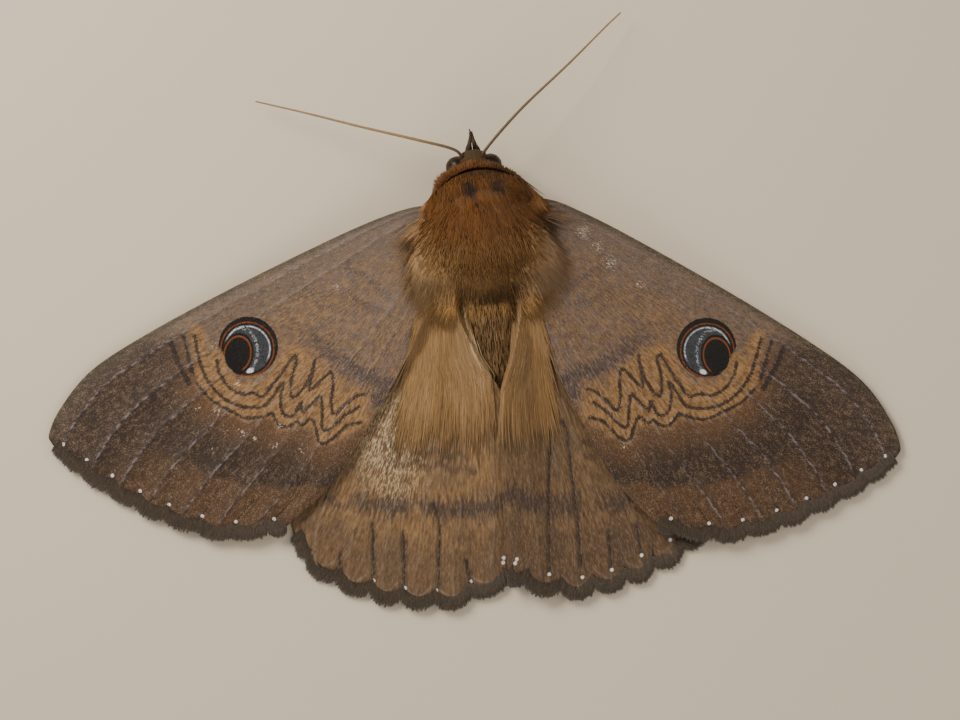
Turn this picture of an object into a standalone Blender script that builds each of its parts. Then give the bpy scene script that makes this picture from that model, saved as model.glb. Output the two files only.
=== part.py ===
# Southern moon moth resting with its wings spread flat, modelled life size.
# Every shape is worked out in millimetres in the moth's own frame, where x is sideways, y runs
# towards the head and z is up from the floor. The function world() turns that frame by the
# moth's heading and gives metres, with the origin under the middle of the moth, on the floor.

import functools
import math
import random

import bmesh
import bpy
import numpy as np
from mathutils import Vector

MILLIMETRE = 0.001
GAP = 0.3

# Where the middle of the thorax lies on the floor, and how far the moth turns to its left.
THORAX_PLACE = (0.63, 7.55)
HEADING_DEG = 4.74

# Thorax: the solid core under the coat, and how far the tips of the coat stand outside it.
THORAX_CENTRE = Vector((0.0, -0.4, 4.7))
THORAX_CORE = Vector((4.7, 5.5, 3.5))
COAT_CENTRE = Vector((0.0, -1.0, 4.7))
COAT_SIZE = Vector((6.9, 6.2, 4.4))

# Locks of hair, flat and pointed: the shares of their length where they bend, their width at each
# of these but the last, their thickness, how deep they are rooted, and how much they vary.
LOCK_STATIONS = (0.0, 0.3, 0.65, 1.0)
LOCK_WIDTHS = (0.7, 1.0, 0.8)
LOCK_THICKNESS = 0.55
LOCK_THINNING = 0.2
ROOT_DEPTH = 0.35
LENGTH_SPREAD = (0.85, 1.1)
WIDTH_SPREAD = (0.85, 1.15)

# Locks of the coat: rows across the thorax, from front to rear, with the share of the core's
# width that each row covers. The locks splay to the sides, and more so at the shoulders.
COAT_ROWS = 9
COAT_FIRST_Y = 3.7
COAT_LAST_Y = -4.3
COAT_ROW_SHARE = 0.9
COAT_SPACING = 1.44
COAT_LOCK_LENGTH = 3.9
COAT_LOCK_WIDTH = 1.5
COAT_RISE = 1.25
COAT_SPLAY = 0.75
COAT_SHOULDER = 0.65
COAT_STRAY = (0.15, 0.3, 0.16)
COAT_SEED = 4

# Fans of long hair on the inner part of each hindwing, in tiers from the wing's root backwards.
FAN_TIERS = 4
FAN_LOCKS = 5
FAN_FIRST_Y = -5.6
FAN_TIER_STEP = 3.7
FAN_LOCK_LENGTH = 7.4
FAN_LOCK_WIDTH = 1.15
FAN_OUTER_X = {"left": (4.9, 3.4), "right": (3.6, 5.2)}
FAN_END = 24.0
FAN_MIDLINE = 0.45
FAN_INSET = 0.35
FAN_LIFT = 0.35
FAN_STRAY = 0.12
FAN_SEEDS = {"left": 7, "right": 8}

# Abdomen: length, greatest half width and half height, and number of rings. The crease between
# two rings is a little narrower than they are.
ABDOMEN_START_Y = -4.6
ABDOMEN_LENGTH = 21.5
ABDOMEN_HALF_WIDTH = 2.9
ABDOMEN_HALF_HEIGHT = 1.8
ABDOMEN_CLEARANCE = 0.4
ABDOMEN_RINGS = 7
ABDOMEN_CREASE = 0.94

# Head and eyes.
HEAD_CENTRE = Vector((-0.15, 6.35, 4.0))
HEAD_SIZE = Vector((2.1, 1.95, 1.75))
EYE_RADIUS = 1.2
EYE_OFFSET = Vector((1.65, 0.45, 0.15))

# Collar of long scales: a bent roll on the front of the thorax, and how far its tips reach.
COLLAR_CENTRE = Vector((0.35, 0.9, 6.75))
COLLAR_RADIUS = 4.75
COLLAR_FROM_DEG = 30.0
COLLAR_TO_DEG = 143.0
COLLAR_HALF_WIDTH = 1.15
COLLAR_HALF_HEIGHT = 0.8
COLLAR_LOCKS = 17
COLLAR_LOCK_LENGTH = 2.3
COLLAR_LOCK_WIDTH = 1.0
COLLAR_LOCK_ROOT = 0.2
COLLAR_LAYER = 0.35
COLLAR_SEED = 5

# Wings. The forewing outline is in its own frame: first number outwards from the hinge, second
# number backwards. The hindwing outline is in the moth's frame, for the right side. Notches are
# shares of the outer margin's length, and a vein runs to the middle of each cell between two of
# them from a share of the wing's length. The last, narrow cell has none.
WING_THICKNESS = 0.5
MARGIN_THICKNESS = 0.3
VEIN_HEIGHT = 0.14
NO_VEIN = 2.0
HINGE = (5.25, 0.5)
SWEEP_LEFT_DEG = 23.9
SWEEP_RIGHT_DEG = 36.6
FOREWING_COSTA = ((0.0, -3.0), (3.5, -3.7), (8.8, -4.2), (19.0, -4.7), (29.0, -4.8), (36.0, -4.3),
                  (40.6, -2.5), (43.0, -0.7))
FOREWING_APEX = (43.5, 0.5)
FOREWING_MARGIN = ((42.4, 3.0), (41.0, 5.7), (39.4, 8.4), (37.6, 11.1), (35.2, 13.9), (32.2, 16.6))
FOREWING_TORNUS = (26.4, 19.0)
FOREWING_DORSUM = ((20.4, 17.3), (15.2, 14.5), (11.0, 12.0), (7.6, 9.7), (4.2, 7.2))
FOREWING_NOTCHES = (0.0, 0.15, 0.27, 0.39, 0.515, 0.65, 0.78, 0.925, 1.0)
FOREWING_TOOTH = 0.45
FOREWING_VEIN_STARTS = (0.0, 0.08, 0.5, 0.54, 0.5, 0.1, 0.0, NO_VEIN)
FOREWING_ROOT_DEG = (38.0, -17.0)
HINDWING_COSTA = ((9.5, -8.0), (14.5, -13.5), (19.3, -20.0), (21.6, -25.0))
HINDWING_APEX = (21.5, -28.4)
HINDWING_MARGIN = ((19.4, -31.4), (16.3, -33.5), (12.9, -34.9), (9.7, -35.7), (6.1, -36.1),
                   (3.0, -35.3))
HINDWING_NOTCHES = (0.0, 0.245, 0.38, 0.505, 0.635, 0.775, 0.93, 1.0)
HINDWING_TOOTH = 0.95
HINDWING_VEIN_STARTS = (0.0, 0.42, 0.46, 0.42, 0.1, 0.0, NO_VEIN)
HINDWING_ROOT_DEG = (-22.5, -44.0)
# The right hindwing lies over the left one along the middle of the moth.
ANAL_ANGLE = {"left": (-1.5, -33.9), "right": (-0.1, -33.8)}
INNER_MARGIN = {
    "left": ((3.0, -8.0), (1.5, -12.0), (-0.6, -15.5), (-2.3, -20.0), (-2.6, -27.0)),
    "right": ((3.3, -8.0), (2.3, -12.0), (0.9, -15.5), (0.3, -20.0), (0.0, -27.0)),
}
ROWS = (0.0, 0.06, 0.14, 0.24, 0.34, 0.44, 0.54, 0.64, 0.74, 0.83, 0.91, 0.965, 1.0)
CELL_COLUMNS = (0.0, 0.38, 0.5, 0.62)
VEIN_COLUMN = 2

# How the wings hang: height of the sheet at the body and at its rim, and the step down from the
# forewing to the hindwing under it.
SHEET_RISE = 4.0
SHEET_REACH = 17.0
SHEET_RIM = 0.95
SHEET_TIP_DROP = 0.35
WING_STEP = 0.98
ABDOMEN_BULGE = 1.6
BULGE_HALF_WIDTH = 4.5
OVERLAP_STEP = 0.5

# Feelers, palps and legs, as routes for the left side and the right side.
ANTENNA_ROUTES = {
    "left": ((-1.15, 7.3, 5.0), (-1.9, 8.5, 5.7), (-5.45, 9.78, 5.6), (-10.95, 11.6, 4.6),
             (-16.15, 13.44, 3.2), (-21.4, 15.2, 1.8)),
    "right": ((0.75, 7.4, 5.0), (1.25, 8.4, 5.7), (4.97, 12.0, 5.6), (10.18, 16.25, 4.4),
              (14.04, 19.6, 2.9), (15.75, 21.0, 2.3)),
}
ANTENNA_RADIUS = 0.27
ANTENNA_TAPER = 0.45
PALP_ROUTES = {
    "left": ((-0.85, 7.0, 2.3), (-0.8, 8.3, 2.7), (-0.6, 9.1, 4.0), (-0.05, 10.25, 5.0)),
    "right": ((0.6, 7.0, 2.3), (0.55, 8.3, 2.6), (0.2, 9.0, 3.4), (-0.3, 10.55, 3.9)),
}
PALP_RADIUS = 0.5
PALP_TAPER = 0.62
LEG_ROUTES = {
    "fore": ((1.4, 2.6, 2.6), (2.3, 3.7, 1.1), (4.3, 4.0, 1.9), (5.2, 2.6, 0.9), (5.7, 1.4, 0.25),
             (6.0, -0.8, 0.25)),
    "mid": ((1.8, 0.2, 2.4), (3.2, -0.3, 1.0), (6.6, -1.8, 2.0), (8.6, -4.3, 0.9),
            (9.3, -5.6, 0.25), (10.3, -8.3, 0.25)),
    "hind": ((1.7, -2.6, 2.4), (3.0, -3.9, 1.0), (5.4, -8.5, 1.7), (7.4, -13.6, 0.8),
             (8.0, -15.0, 0.25), (9.0, -18.4, 0.25)),
}
LEG_RADII = (0.6, 0.6, 0.42, 0.32, 0.3, 0.28)

# Colours are linear red, green and blue, with a roughness.
FINISHES = {
    "head": ((0.16, 0.12, 0.08), 0.9),
    "eye": ((0.03, 0.012, 0.008), 0.25),
    "palp": ((0.09, 0.06, 0.04), 0.85),
    "antenna": ((0.30, 0.22, 0.13), 0.7),
    "collar": ((0.22, 0.09, 0.03), 0.9),
    "thorax": ((0.26, 0.15, 0.07), 0.95),
    "abdomen": ((0.22, 0.14, 0.08), 0.9),
    "forewing": ((0.15, 0.10, 0.07), 0.75),
    "hindwing": ((0.20, 0.14, 0.08), 0.75),
    "leg": ((0.18, 0.12, 0.07), 0.8),
}


def ease(low, high, value):
    """Rise smoothly from 0 at low to 1 at high."""
    step = min(max((value - low) / (high - low), 0.0), 1.0)
    return step * step * (3.0 - 2.0 * step)


def world(point):
    """Turn a point of the moth's own frame, in millimetres, into metres on the floor."""
    turn = math.radians(HEADING_DEG)
    x = THORAX_PLACE[0] + point[0] * math.cos(turn) - point[1] * math.sin(turn)
    y = THORAX_PLACE[1] + point[0] * math.sin(turn) + point[1] * math.cos(turn)
    return Vector((x, y, point[2])) * MILLIMETRE


def sheet_height(x, y):
    """Height of the middle of the forewing's membrane over the floor."""
    reach = math.exp(-((abs(x) / SHEET_REACH) ** 1.7))
    rear = 1.0 - 0.75 * ease(-5.0, -40.0, y)
    rim = SHEET_RIM - SHEET_TIP_DROP * ease(26.0, 40.0, abs(x))
    return rim + SHEET_RISE * reach * rear


def hindwing_height(x, y, side):
    """Height of the middle of the hindwing's membrane, which lies under the forewing."""
    along = ease(-34.0, -16.0, y)
    across = max(1.0 - (x / BULGE_HALF_WIDTH) ** 2, 0.0) ** 2
    overlap = 1.0 - ease(2.8, 6.0, abs(x))
    step = OVERLAP_STEP if side == "right" else -OVERLAP_STEP
    step *= 1.0 - ease(-12.0, -6.0, y)
    return sheet_height(x, y) - WING_STEP + ABDOMEN_BULGE * along * across + step * overlap


def dense_curve(points, steps=16):
    """A smooth curve through the given points, as many short straight pieces."""
    knots = [np.array(point, dtype=float) for point in points]
    knots = [2 * knots[0] - knots[1]] + knots + [2 * knots[-1] - knots[-2]]
    curve = []
    for before, start, end, after in zip(knots, knots[1:], knots[2:], knots[3:]):
        for step in range(steps):
            t = step / steps
            curve.append(0.5 * (2 * start + (end - before) * t
                                + (2 * before - 5 * start + 4 * end - after) * t ** 2
                                + (3 * start - before - 3 * end + after) * t ** 3))
    curve.append(knots[-2])
    return np.array(curve)


def along_curve(points, fractions):
    """Points at the given fractions of the length of a smooth curve."""
    curve = dense_curve(points)
    lengths = np.concatenate(([0.0], np.cumsum(np.linalg.norm(np.diff(curve, axis=0), axis=1))))
    wanted = np.array(fractions) * lengths[-1]
    return np.stack([np.interp(wanted, lengths, axis) for axis in curve.T], axis=1)


def new_object(name, mesh, finish):
    """Put a finished mesh in the scene under its node name, with a material of its own."""
    colour, roughness = FINISHES[finish]
    material = bpy.data.materials.new(name)
    material.use_nodes = True
    shader = material.node_tree.nodes["Principled BSDF"]
    shader.inputs["Base Color"].default_value = (*colour, 1.0)
    shader.inputs["Roughness"].default_value = roughness
    shader.inputs["Metallic"].default_value = 0.0
    mesh.materials.clear()
    mesh.materials.append(material)
    piece = bpy.data.objects.new(name, mesh)
    bpy.context.scene.collection.objects.link(piece)
    return piece


def closed_mesh(name, points, faces):
    """A mesh in metres from points of the moth's frame, with its faces turned outwards."""
    mesh = bpy.data.meshes.new(name)
    mesh.from_pydata([world(point) for point in points], [], faces)
    body = bmesh.new()
    body.from_mesh(mesh)
    bmesh.ops.triangulate(body, faces=[face for face in body.faces if len(face.verts) > 4])
    bmesh.ops.recalc_face_normals(body, faces=body.faces)
    body.to_mesh(mesh)
    body.free()
    return mesh


def ellipsoid(name, centre, size, around=20, rings=12, grow=0.0):
    """A closed ball with three half widths, each made larger by grow."""
    points = [centre + Vector((0.0, 0.0, size.z + grow))]
    for ring in range(1, rings):
        tilt = math.pi * ring / rings
        for step in range(around):
            turn = 2.0 * math.pi * step / around
            points.append(centre + Vector((
                (size.x + grow) * math.sin(tilt) * math.cos(turn),
                (size.y + grow) * math.sin(tilt) * math.sin(turn),
                (size.z + grow) * math.cos(tilt))))
    points.append(centre - Vector((0.0, 0.0, size.z + grow)))
    last = len(points) - 1
    faces = []
    for step in range(around):
        after = (step + 1) % around
        faces.append((0, 1 + step, 1 + after))
        for ring in range(rings - 2):
            low = 1 + ring * around
            faces.append((low + step, low + around + step, low + around + after))
            faces.append((low + step, low + around + after, low + after))
        low = 1 + (rings - 2) * around
        faces.append((last, low + after, low + step))
    return closed_mesh(name, points, faces)


def tube(name, route, radii, sides=8, on_floor=False, flatten=1.0):
    """A round tube along a route, from a flat start to a pointed end. A foot is flat below."""
    count = len(route)
    route = [Vector(point) for point in route]
    points = []
    across = Vector((1.0, 0.0, 0.0))
    for index, (centre, radius) in enumerate(zip(route, radii)):
        before = route[max(index - 1, 0)]
        after = route[min(index + 1, count - 1)]
        forward = (after - before).normalized()
        if on_floor:
            across = forward.cross(Vector((0.0, 0.0, 1.0)))
        across = (across - forward * across.dot(forward)).normalized()
        upward = across.cross(forward)
        for step in range(sides):
            turn = 2.0 * math.pi * (step + 0.5) / sides
            point = centre + across * radius * math.cos(turn)
            point += upward * radius * flatten * math.sin(turn)
            if on_floor:
                point.z = max(point.z, 0.0)
            points.append(point)
    faces = []
    for ring in range(count - 1):
        for step in range(sides):
            after = (step + 1) % sides
            low = ring * sides
            faces.append((low + step, low + after, low + sides + after))
            faces.append((low + step, low + sides + after, low + sides + step))
    faces.append(tuple(range(sides)))
    last = (count - 1) * sides
    tip = route[-1] + (route[-1] - route[-2]).normalized() * radii[-1]
    if on_floor:
        tip.z = max(tip.z, 0.0)
    points.append(tip)
    for step in range(sides):
        faces.append((last + step, last + (step + 1) % sides, len(points) - 1))
    return closed_mesh(name, points, faces)


def keep_largest(mesh):
    """Drop every closed surface of a mesh but the one with the most room inside."""
    body = bmesh.new()
    body.from_mesh(mesh)
    bmesh.ops.triangulate(body, faces=body.faces)
    left = set(body.faces)
    surfaces = []
    while left:
        surface = set()
        front = [left.pop()]
        while front:
            face = front.pop()
            surface.add(face)
            for edge in face.edges:
                for other in edge.link_faces:
                    if other in left:
                        left.remove(other)
                        front.append(other)
        room = 0.0
        for face in surface:
            first, second, third = (vert.co for vert in face.verts)
            room += first.cross(second).dot(third)
        surfaces.append((abs(room), surface))
    largest = max(surfaces, key=lambda entry: entry[0])[1]
    scraps = [face for face in body.faces if face not in largest]
    bmesh.ops.delete(body, geom=scraps, context="FACES")
    body.to_mesh(mesh)
    body.free()
    return mesh


def combine(name, base, others, operation):
    """Join closed meshes to a base mesh, or cut them from it, in one Boolean step."""
    target = bpy.data.objects.new(name, base)
    bpy.context.scene.collection.objects.link(target)
    group = bpy.data.collections.new(name)
    bpy.context.scene.collection.children.link(group)
    for other in others:
        group.objects.link(bpy.data.objects.new(other.name, other))
    step = target.modifiers.new(name, "BOOLEAN")
    step.operand_type = "COLLECTION"
    step.collection = group
    step.operation = operation
    step.solver = "EXACT"
    graph = bpy.context.evaluated_depsgraph_get()
    result = bpy.data.meshes.new_from_object(target.evaluated_get(graph))
    for piece in list(group.objects):
        bpy.data.objects.remove(piece)
    bpy.data.collections.remove(group)
    bpy.data.objects.remove(target)
    result.name = name
    return keep_largest(result)


def wing_patch(root, leading, margin, trailing, columns):
    """Fill the space between four edges of a wing with a grid of points seen from above."""
    grid = np.zeros((len(ROWS), len(columns), 2))
    for i, s in enumerate(ROWS):
        for j, t in enumerate(columns):
            grid[i, j] = ((1 - t) * leading[i] + t * trailing[i]
                          + (1 - s) * root[j] + s * margin[j]
                          - (1 - s) * ((1 - t) * root[0] + t * root[-1])
                          - s * ((1 - t) * margin[0] + t * margin[-1]))
    return grid


def toothed_margin(points, notches, depth):
    """The outer margin at each column, with a blunt tooth at each vein between two notches."""
    cells = len(notches) - 1
    columns = [(cell + share) / cells for cell in range(cells) for share in CELL_COLUMNS] + [1.0]
    fractions = np.interp(columns, np.linspace(0.0, 1.0, cells + 1), notches)
    margin = along_curve(points, fractions)
    ahead = along_curve(points, [min(fraction + 0.01, 1.0) for fraction in fractions])
    behind = along_curve(points, [max(fraction - 0.01, 0.0) for fraction in fractions])
    run = ahead - behind
    run /= np.linalg.norm(run, axis=1)[:, None]
    outwards = np.stack((-run[:, 1], run[:, 0]), axis=1)
    if np.dot(outwards[len(columns) // 2], margin[len(columns) // 2]) < 0.0:
        outwards = -outwards
    for column in range(len(columns)):
        if column % len(CELL_COLUMNS):
            margin[column] += outwards[column] * depth
    return margin, columns


def root_arc(angles, columns):
    """Where a wing's root meets the side of the thorax, one gap outside its core."""
    arc = []
    for t in columns:
        turn = math.radians(angles[0] + (angles[1] - angles[0]) * t)
        arc.append(((THORAX_CORE.x + GAP) * math.cos(turn),
                    THORAX_CENTRE.y + (THORAX_CORE.y + GAP) * math.sin(turn)))
    return np.array(arc)


def wing_mesh(name, grid, side, height, vein_starts):
    """A thin closed sheet over a grid, with its main veins raised in the upper face."""
    rows, columns = grid.shape[:2]
    sign = -1.0 if side == "left" else 1.0
    per_cell = len(CELL_COLUMNS)
    points = []
    for face in (1.0, -1.0):
        for i in range(rows):
            thickness = MARGIN_THICKNESS if i == rows - 1 else WING_THICKNESS
            for j in range(columns):
                x, y = sign * grid[i, j, 0], grid[i, j, 1]
                z = height(x, y) + face * thickness / 2
                if face > 0.0 and j % per_cell == VEIN_COLUMN:
                    start = vein_starts[j // per_cell]
                    z += VEIN_HEIGHT * ease(start - 0.02, start + 0.06, ROWS[i] + 0.001)
                if face > 0.0 and j == 0:
                    z += VEIN_HEIGHT * (1.0 - ease(0.8, 1.0, ROWS[i]))
                points.append((x, y, z))
    under = rows * columns
    faces = []
    for i in range(rows - 1):
        for j in range(columns - 1):
            a = i * columns + j
            b = a + 1
            c = a + columns + 1
            d = a + columns
            faces += [(a, b, c), (a, c, d)]
            faces += [(under + a, under + c, under + b), (under + a, under + d, under + c)]
    rim = list(range(columns))
    rim += [i * columns + columns - 1 for i in range(1, rows)]
    rim += [(rows - 1) * columns + j for j in range(columns - 2, -1, -1)]
    rim += [i * columns for i in range(rows - 2, 0, -1)]
    for here, there in zip(rim, rim[1:] + rim[:1]):
        faces += [(here, under + here, under + there), (here, under + there, there)]
    return closed_mesh(name, points, faces)


def swept(points, sweep_deg):
    """Turn points of the forewing's outline about the hinge, into the moth's frame."""
    turn = math.radians(sweep_deg)
    turned = []
    for outwards, backwards in points:
        turned.append((HINGE[0] + outwards * math.cos(turn) - backwards * math.sin(turn),
                       HINGE[1] - outwards * math.sin(turn) - backwards * math.cos(turn)))
    return turned


def make_forewing(side):
    """The broad triangular forewing, whose front edge is nearly straight."""
    sweep = SWEEP_LEFT_DEG if side == "left" else SWEEP_RIGHT_DEG
    margin_points = swept((FOREWING_APEX,) + FOREWING_MARGIN + (FOREWING_TORNUS,), sweep)
    margin, columns = toothed_margin(margin_points, FOREWING_NOTCHES, FOREWING_TOOTH)
    root = root_arc(FOREWING_ROOT_DEG, columns)
    costa = along_curve([root[0]] + swept(FOREWING_COSTA, sweep) + [margin[0]], ROWS)
    dorsum = along_curve([root[-1]] + swept(FOREWING_DORSUM[::-1], sweep) + [margin[-1]], ROWS)
    grid = wing_patch(root, costa, margin, dorsum, columns)
    name = "forewing_" + side
    mesh = wing_mesh(name, grid, side, sheet_height, FOREWING_VEIN_STARTS)
    new_object(name, mesh, "forewing")


def inner_margin_x(side, y):
    """How far from the middle the hindwing's inner edge lies at a distance along the moth."""
    edge = np.array(INNER_MARGIN[side])
    return float(np.interp(-y, -edge[:, 1], edge[:, 0]))


def hindwing_fan(side):
    """Long flat locks that lie on the inner part of a hindwing and run backwards."""
    chance = random.Random(FAN_SEEDS[side])
    sign = -1.0 if side == "left" else 1.0
    locks = []
    for tier in range(FAN_TIERS):
        for place in range(FAN_LOCKS):
            share = place / (FAN_LOCKS - 1)
            length = FAN_LOCK_LENGTH * chance.uniform(*LENGTH_SPREAD)
            start_y = FAN_FIRST_Y - FAN_TIER_STEP * (tier + chance.uniform(-0.15, 0.15))
            route = []
            for step in LOCK_STATIONS:
                y = start_y - length * step
                inner = max(inner_margin_x(side, y), FAN_MIDLINE) + FAN_INSET
                outer = np.interp(-y, (-FAN_FIRST_Y, FAN_END), FAN_OUTER_X[side])
                x = inner + (outer - inner) * share + chance.uniform(-FAN_STRAY, FAN_STRAY)
                lift = FAN_LIFT * math.sin(math.pi * (0.12 + 0.7 * step))
                top = hindwing_height(sign * x, y, side) + WING_THICKNESS / 2
                route.append((sign * x, y, top + lift))
            width = FAN_LOCK_WIDTH * chance.uniform(*WIDTH_SPREAD)
            locks.append(lock_mesh("lock", route, width, LOCK_THICKNESS, (0.0, 0.0, 1.0)))
    return locks


def make_hindwing(side):
    """The rounded hindwing, with a scalloped margin and its inner edge over the abdomen."""
    margin_points = (HINDWING_APEX,) + HINDWING_MARGIN + (ANAL_ANGLE[side],)
    margin, columns = toothed_margin(margin_points, HINDWING_NOTCHES, HINDWING_TOOTH)
    root = root_arc(HINDWING_ROOT_DEG, columns)
    costa = along_curve([root[0], *HINDWING_COSTA, margin[0]], ROWS)
    inner = along_curve([root[-1], *INNER_MARGIN[side], margin[-1]], ROWS)
    grid = wing_patch(root, costa, margin, inner, columns)
    name = "hindwing_" + side
    height = functools.partial(hindwing_height, side=side)
    mesh = wing_mesh(name, grid, side, height, HINDWING_VEIN_STARTS)
    new_object(name, combine(name, mesh, hindwing_fan(side), "UNION"), "hindwing")


def lock_mesh(name, route, width, thickness, upward):
    """A flat lock of hair along a route, widest in its middle and ending in a point."""
    route = [Vector(point) for point in route]
    points = []
    for index, share in enumerate(LOCK_WIDTHS):
        forward = (route[index + 1] - route[max(index - 1, 0)]).normalized()
        across = forward.cross(Vector(upward)).normalized()
        raised = across.cross(forward)
        half = across * width * share / 2
        deep = raised * thickness * (1.0 - LOCK_THINNING * index) / 2
        points += [route[index] - half, route[index] + deep, route[index] + half,
                   route[index] - deep]
    tip = len(points)
    points.append(route[-1])
    faces = [(3, 2, 1, 0)]
    for ring in range(len(LOCK_WIDTHS) - 1):
        for step in range(4):
            low = ring * 4 + step
            after = ring * 4 + (step + 1) % 4
            faces += [(low, after, after + 4), (low, after + 4, low + 4)]
    for step in range(4):
        faces.append((tip - 4 + step, tip - 4 + (step + 1) % 4, tip))
    return closed_mesh(name, points, faces)


def dome_height(x, y, centre, size):
    """Height of the top of a ball over a point of the floor, or None outside the ball."""
    inside = 1.0 - ((x - centre.x) / size.x) ** 2 - ((y - centre.y) / size.y) ** 2
    return centre.z + size.z * math.sqrt(inside) if inside > 0.0 else None


def coat_route(x, y, heading, length):
    """The route of a lock that leaves the thorax's core and lies along its coat."""
    route = []
    for share in LOCK_STATIONS:
        px = x + length * share * math.sin(heading)
        py = y - length * share * math.cos(heading)
        clear = sheet_height(px, py) + WING_THICKNESS / 2 + VEIN_HEIGHT + GAP + LOCK_THICKNESS / 2
        core = dome_height(px, py, THORAX_CENTRE, THORAX_CORE)
        coat = dome_height(px, py, COAT_CENTRE, COAT_SIZE) or clear
        low = (core if core else clear) - ROOT_DEPTH
        height = low + (coat - LOCK_THICKNESS / 2 - low) * min(share * COAT_RISE, 1.0)
        if core is None or core < clear + LOCK_THICKNESS:
            height = max(height, clear)
        route.append((px, py, height))
    return route


def thorax_cutter():
    """The thorax's core grown by one gap, which shapes the ends of all that meets it."""
    return ellipsoid("thorax_clearance", THORAX_CENTRE, THORAX_CORE, grow=GAP)


def make_thorax():
    """The deep thorax under a coat of long locks that run backwards and splay at the sides."""
    chance = random.Random(COAT_SEED)
    aside, along, astray = COAT_STRAY
    locks = []
    for row in range(COAT_ROWS):
        y = COAT_FIRST_Y + (COAT_LAST_Y - COAT_FIRST_Y) * row / (COAT_ROWS - 1)
        reach = math.sqrt(1.0 - ((y - THORAX_CENTRE.y) / THORAX_CORE.y) ** 2)
        half_width = COAT_ROW_SHARE * THORAX_CORE.x * reach
        count = max(round(2.0 * THORAX_CORE.x * reach / COAT_SPACING), 3)
        for column in range(count + 1):
            side = 2.0 * column / count - 1.0
            x = half_width * side + chance.uniform(-aside, aside)
            shoulder = COAT_SHOULDER * ease(-1.5, 2.5, y) * abs(side) ** 3
            heading = side * (COAT_SPLAY * (0.6 + 0.4 * abs(side)) + shoulder)
            heading += chance.uniform(-astray, astray)
            length = COAT_LOCK_LENGTH * chance.uniform(*LENGTH_SPREAD)
            route = coat_route(x, y + chance.uniform(-along, along), heading, length)
            width = COAT_LOCK_WIDTH * chance.uniform(*WIDTH_SPREAD)
            locks.append(lock_mesh("lock", route, width, LOCK_THICKNESS, (0.25 * side, 0.0, 1.0)))
    core = ellipsoid("thorax", THORAX_CENTRE, THORAX_CORE)
    new_object("thorax", combine("thorax", core, locks, "UNION"), "thorax")


def make_abdomen():
    """The tapering abdomen, whose rings show as shallow steps."""
    route = []
    radii = []
    stations = ABDOMEN_RINGS * 2
    for station in range(stations + 1):
        t = station / stations
        swell = math.sqrt(max(1.0 - (1.05 * t) ** 2.6, 0.0)) if t < 0.94 else 0.25
        crease = ABDOMEN_CREASE if station % 2 == 0 and station else 1.0
        height = ABDOMEN_CLEARANCE + ABDOMEN_HALF_HEIGHT * (0.15 + 0.85 * swell)
        route.append((0.0, ABDOMEN_START_Y - ABDOMEN_LENGTH * t, height))
        radii.append(ABDOMEN_HALF_WIDTH * swell * crease)
    flatten = ABDOMEN_HALF_HEIGHT / ABDOMEN_HALF_WIDTH
    whole = tube("abdomen", route, radii, sides=14, flatten=flatten)
    new_object("abdomen", combine("abdomen", whole, [thorax_cutter()], "DIFFERENCE"), "abdomen")


def eye_centre(side):
    """Centre of an eye, on the side of the head."""
    sign = -1.0 if side == "left" else 1.0
    return HEAD_CENTRE + Vector((sign * EYE_OFFSET.x, EYE_OFFSET.y, EYE_OFFSET.z))


def make_head():
    """The small head with a round eye on each side, tucked under the collar."""
    cutters = [thorax_cutter()]
    size = Vector((EYE_RADIUS, EYE_RADIUS, EYE_RADIUS))
    for side in ("left", "right"):
        eye = ellipsoid("eye_" + side, eye_centre(side), size, around=14, rings=9)
        new_object("eye_" + side, eye, "eye")
        cutters.append(ellipsoid("socket", eye_centre(side), size, around=14, rings=9, grow=GAP))
    ball = ellipsoid("head", HEAD_CENTRE, HEAD_SIZE, around=16, rings=10)
    new_object("head", combine("head", ball, cutters, "DIFFERENCE"), "head")


def head_cutter():
    """The head and eyes grown by one gap, which shape the roots of the feelers and palps."""
    size = Vector((EYE_RADIUS, EYE_RADIUS, EYE_RADIUS))
    cutters = [ellipsoid("head_clearance", HEAD_CENTRE, HEAD_SIZE, grow=GAP)]
    for side in ("left", "right"):
        cutters.append(ellipsoid("eye_clearance", eye_centre(side), size, grow=GAP))
    return cutters


def make_antenna(side):
    """A long thread-like feeler that thins to its tip."""
    stations = 16
    shares = [step / stations for step in range(stations + 1)]
    route = along_curve(ANTENNA_ROUTES[side], shares)
    radii = [ANTENNA_RADIUS * (1.0 - ANTENNA_TAPER * share ** 2) for share in shares]
    name = "antenna_" + side
    whole = tube(name, route, radii, sides=6)
    new_object(name, combine(name, whole, head_cutter(), "DIFFERENCE"), "antenna")


def make_palp(side):
    """A short palp that rises in front of the face to a fine point."""
    stations = 7
    shares = [step / stations for step in range(stations + 1)]
    route = along_curve(PALP_ROUTES[side], shares)
    radii = [PALP_RADIUS * (1.0 - PALP_TAPER * ease(0.35, 1.0, share)) for share in shares]
    name = "palp_" + side
    whole = tube(name, route, radii, sides=8)
    new_object(name, combine(name, whole, head_cutter(), "DIFFERENCE"), "palp")


def make_leg(pair, side):
    """A folded leg under the body, with its foot flat on the floor."""
    sign = -1.0 if side == "left" else 1.0
    route = [(sign * x, y, z) for x, y, z in LEG_ROUTES[pair]]
    name = "leg_" + pair + "_" + side
    whole = tube(name, route, LEG_RADII, sides=8, on_floor=True)
    new_object(name, combine(name, whole, [thorax_cutter()], "DIFFERENCE"), "leg")


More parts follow.
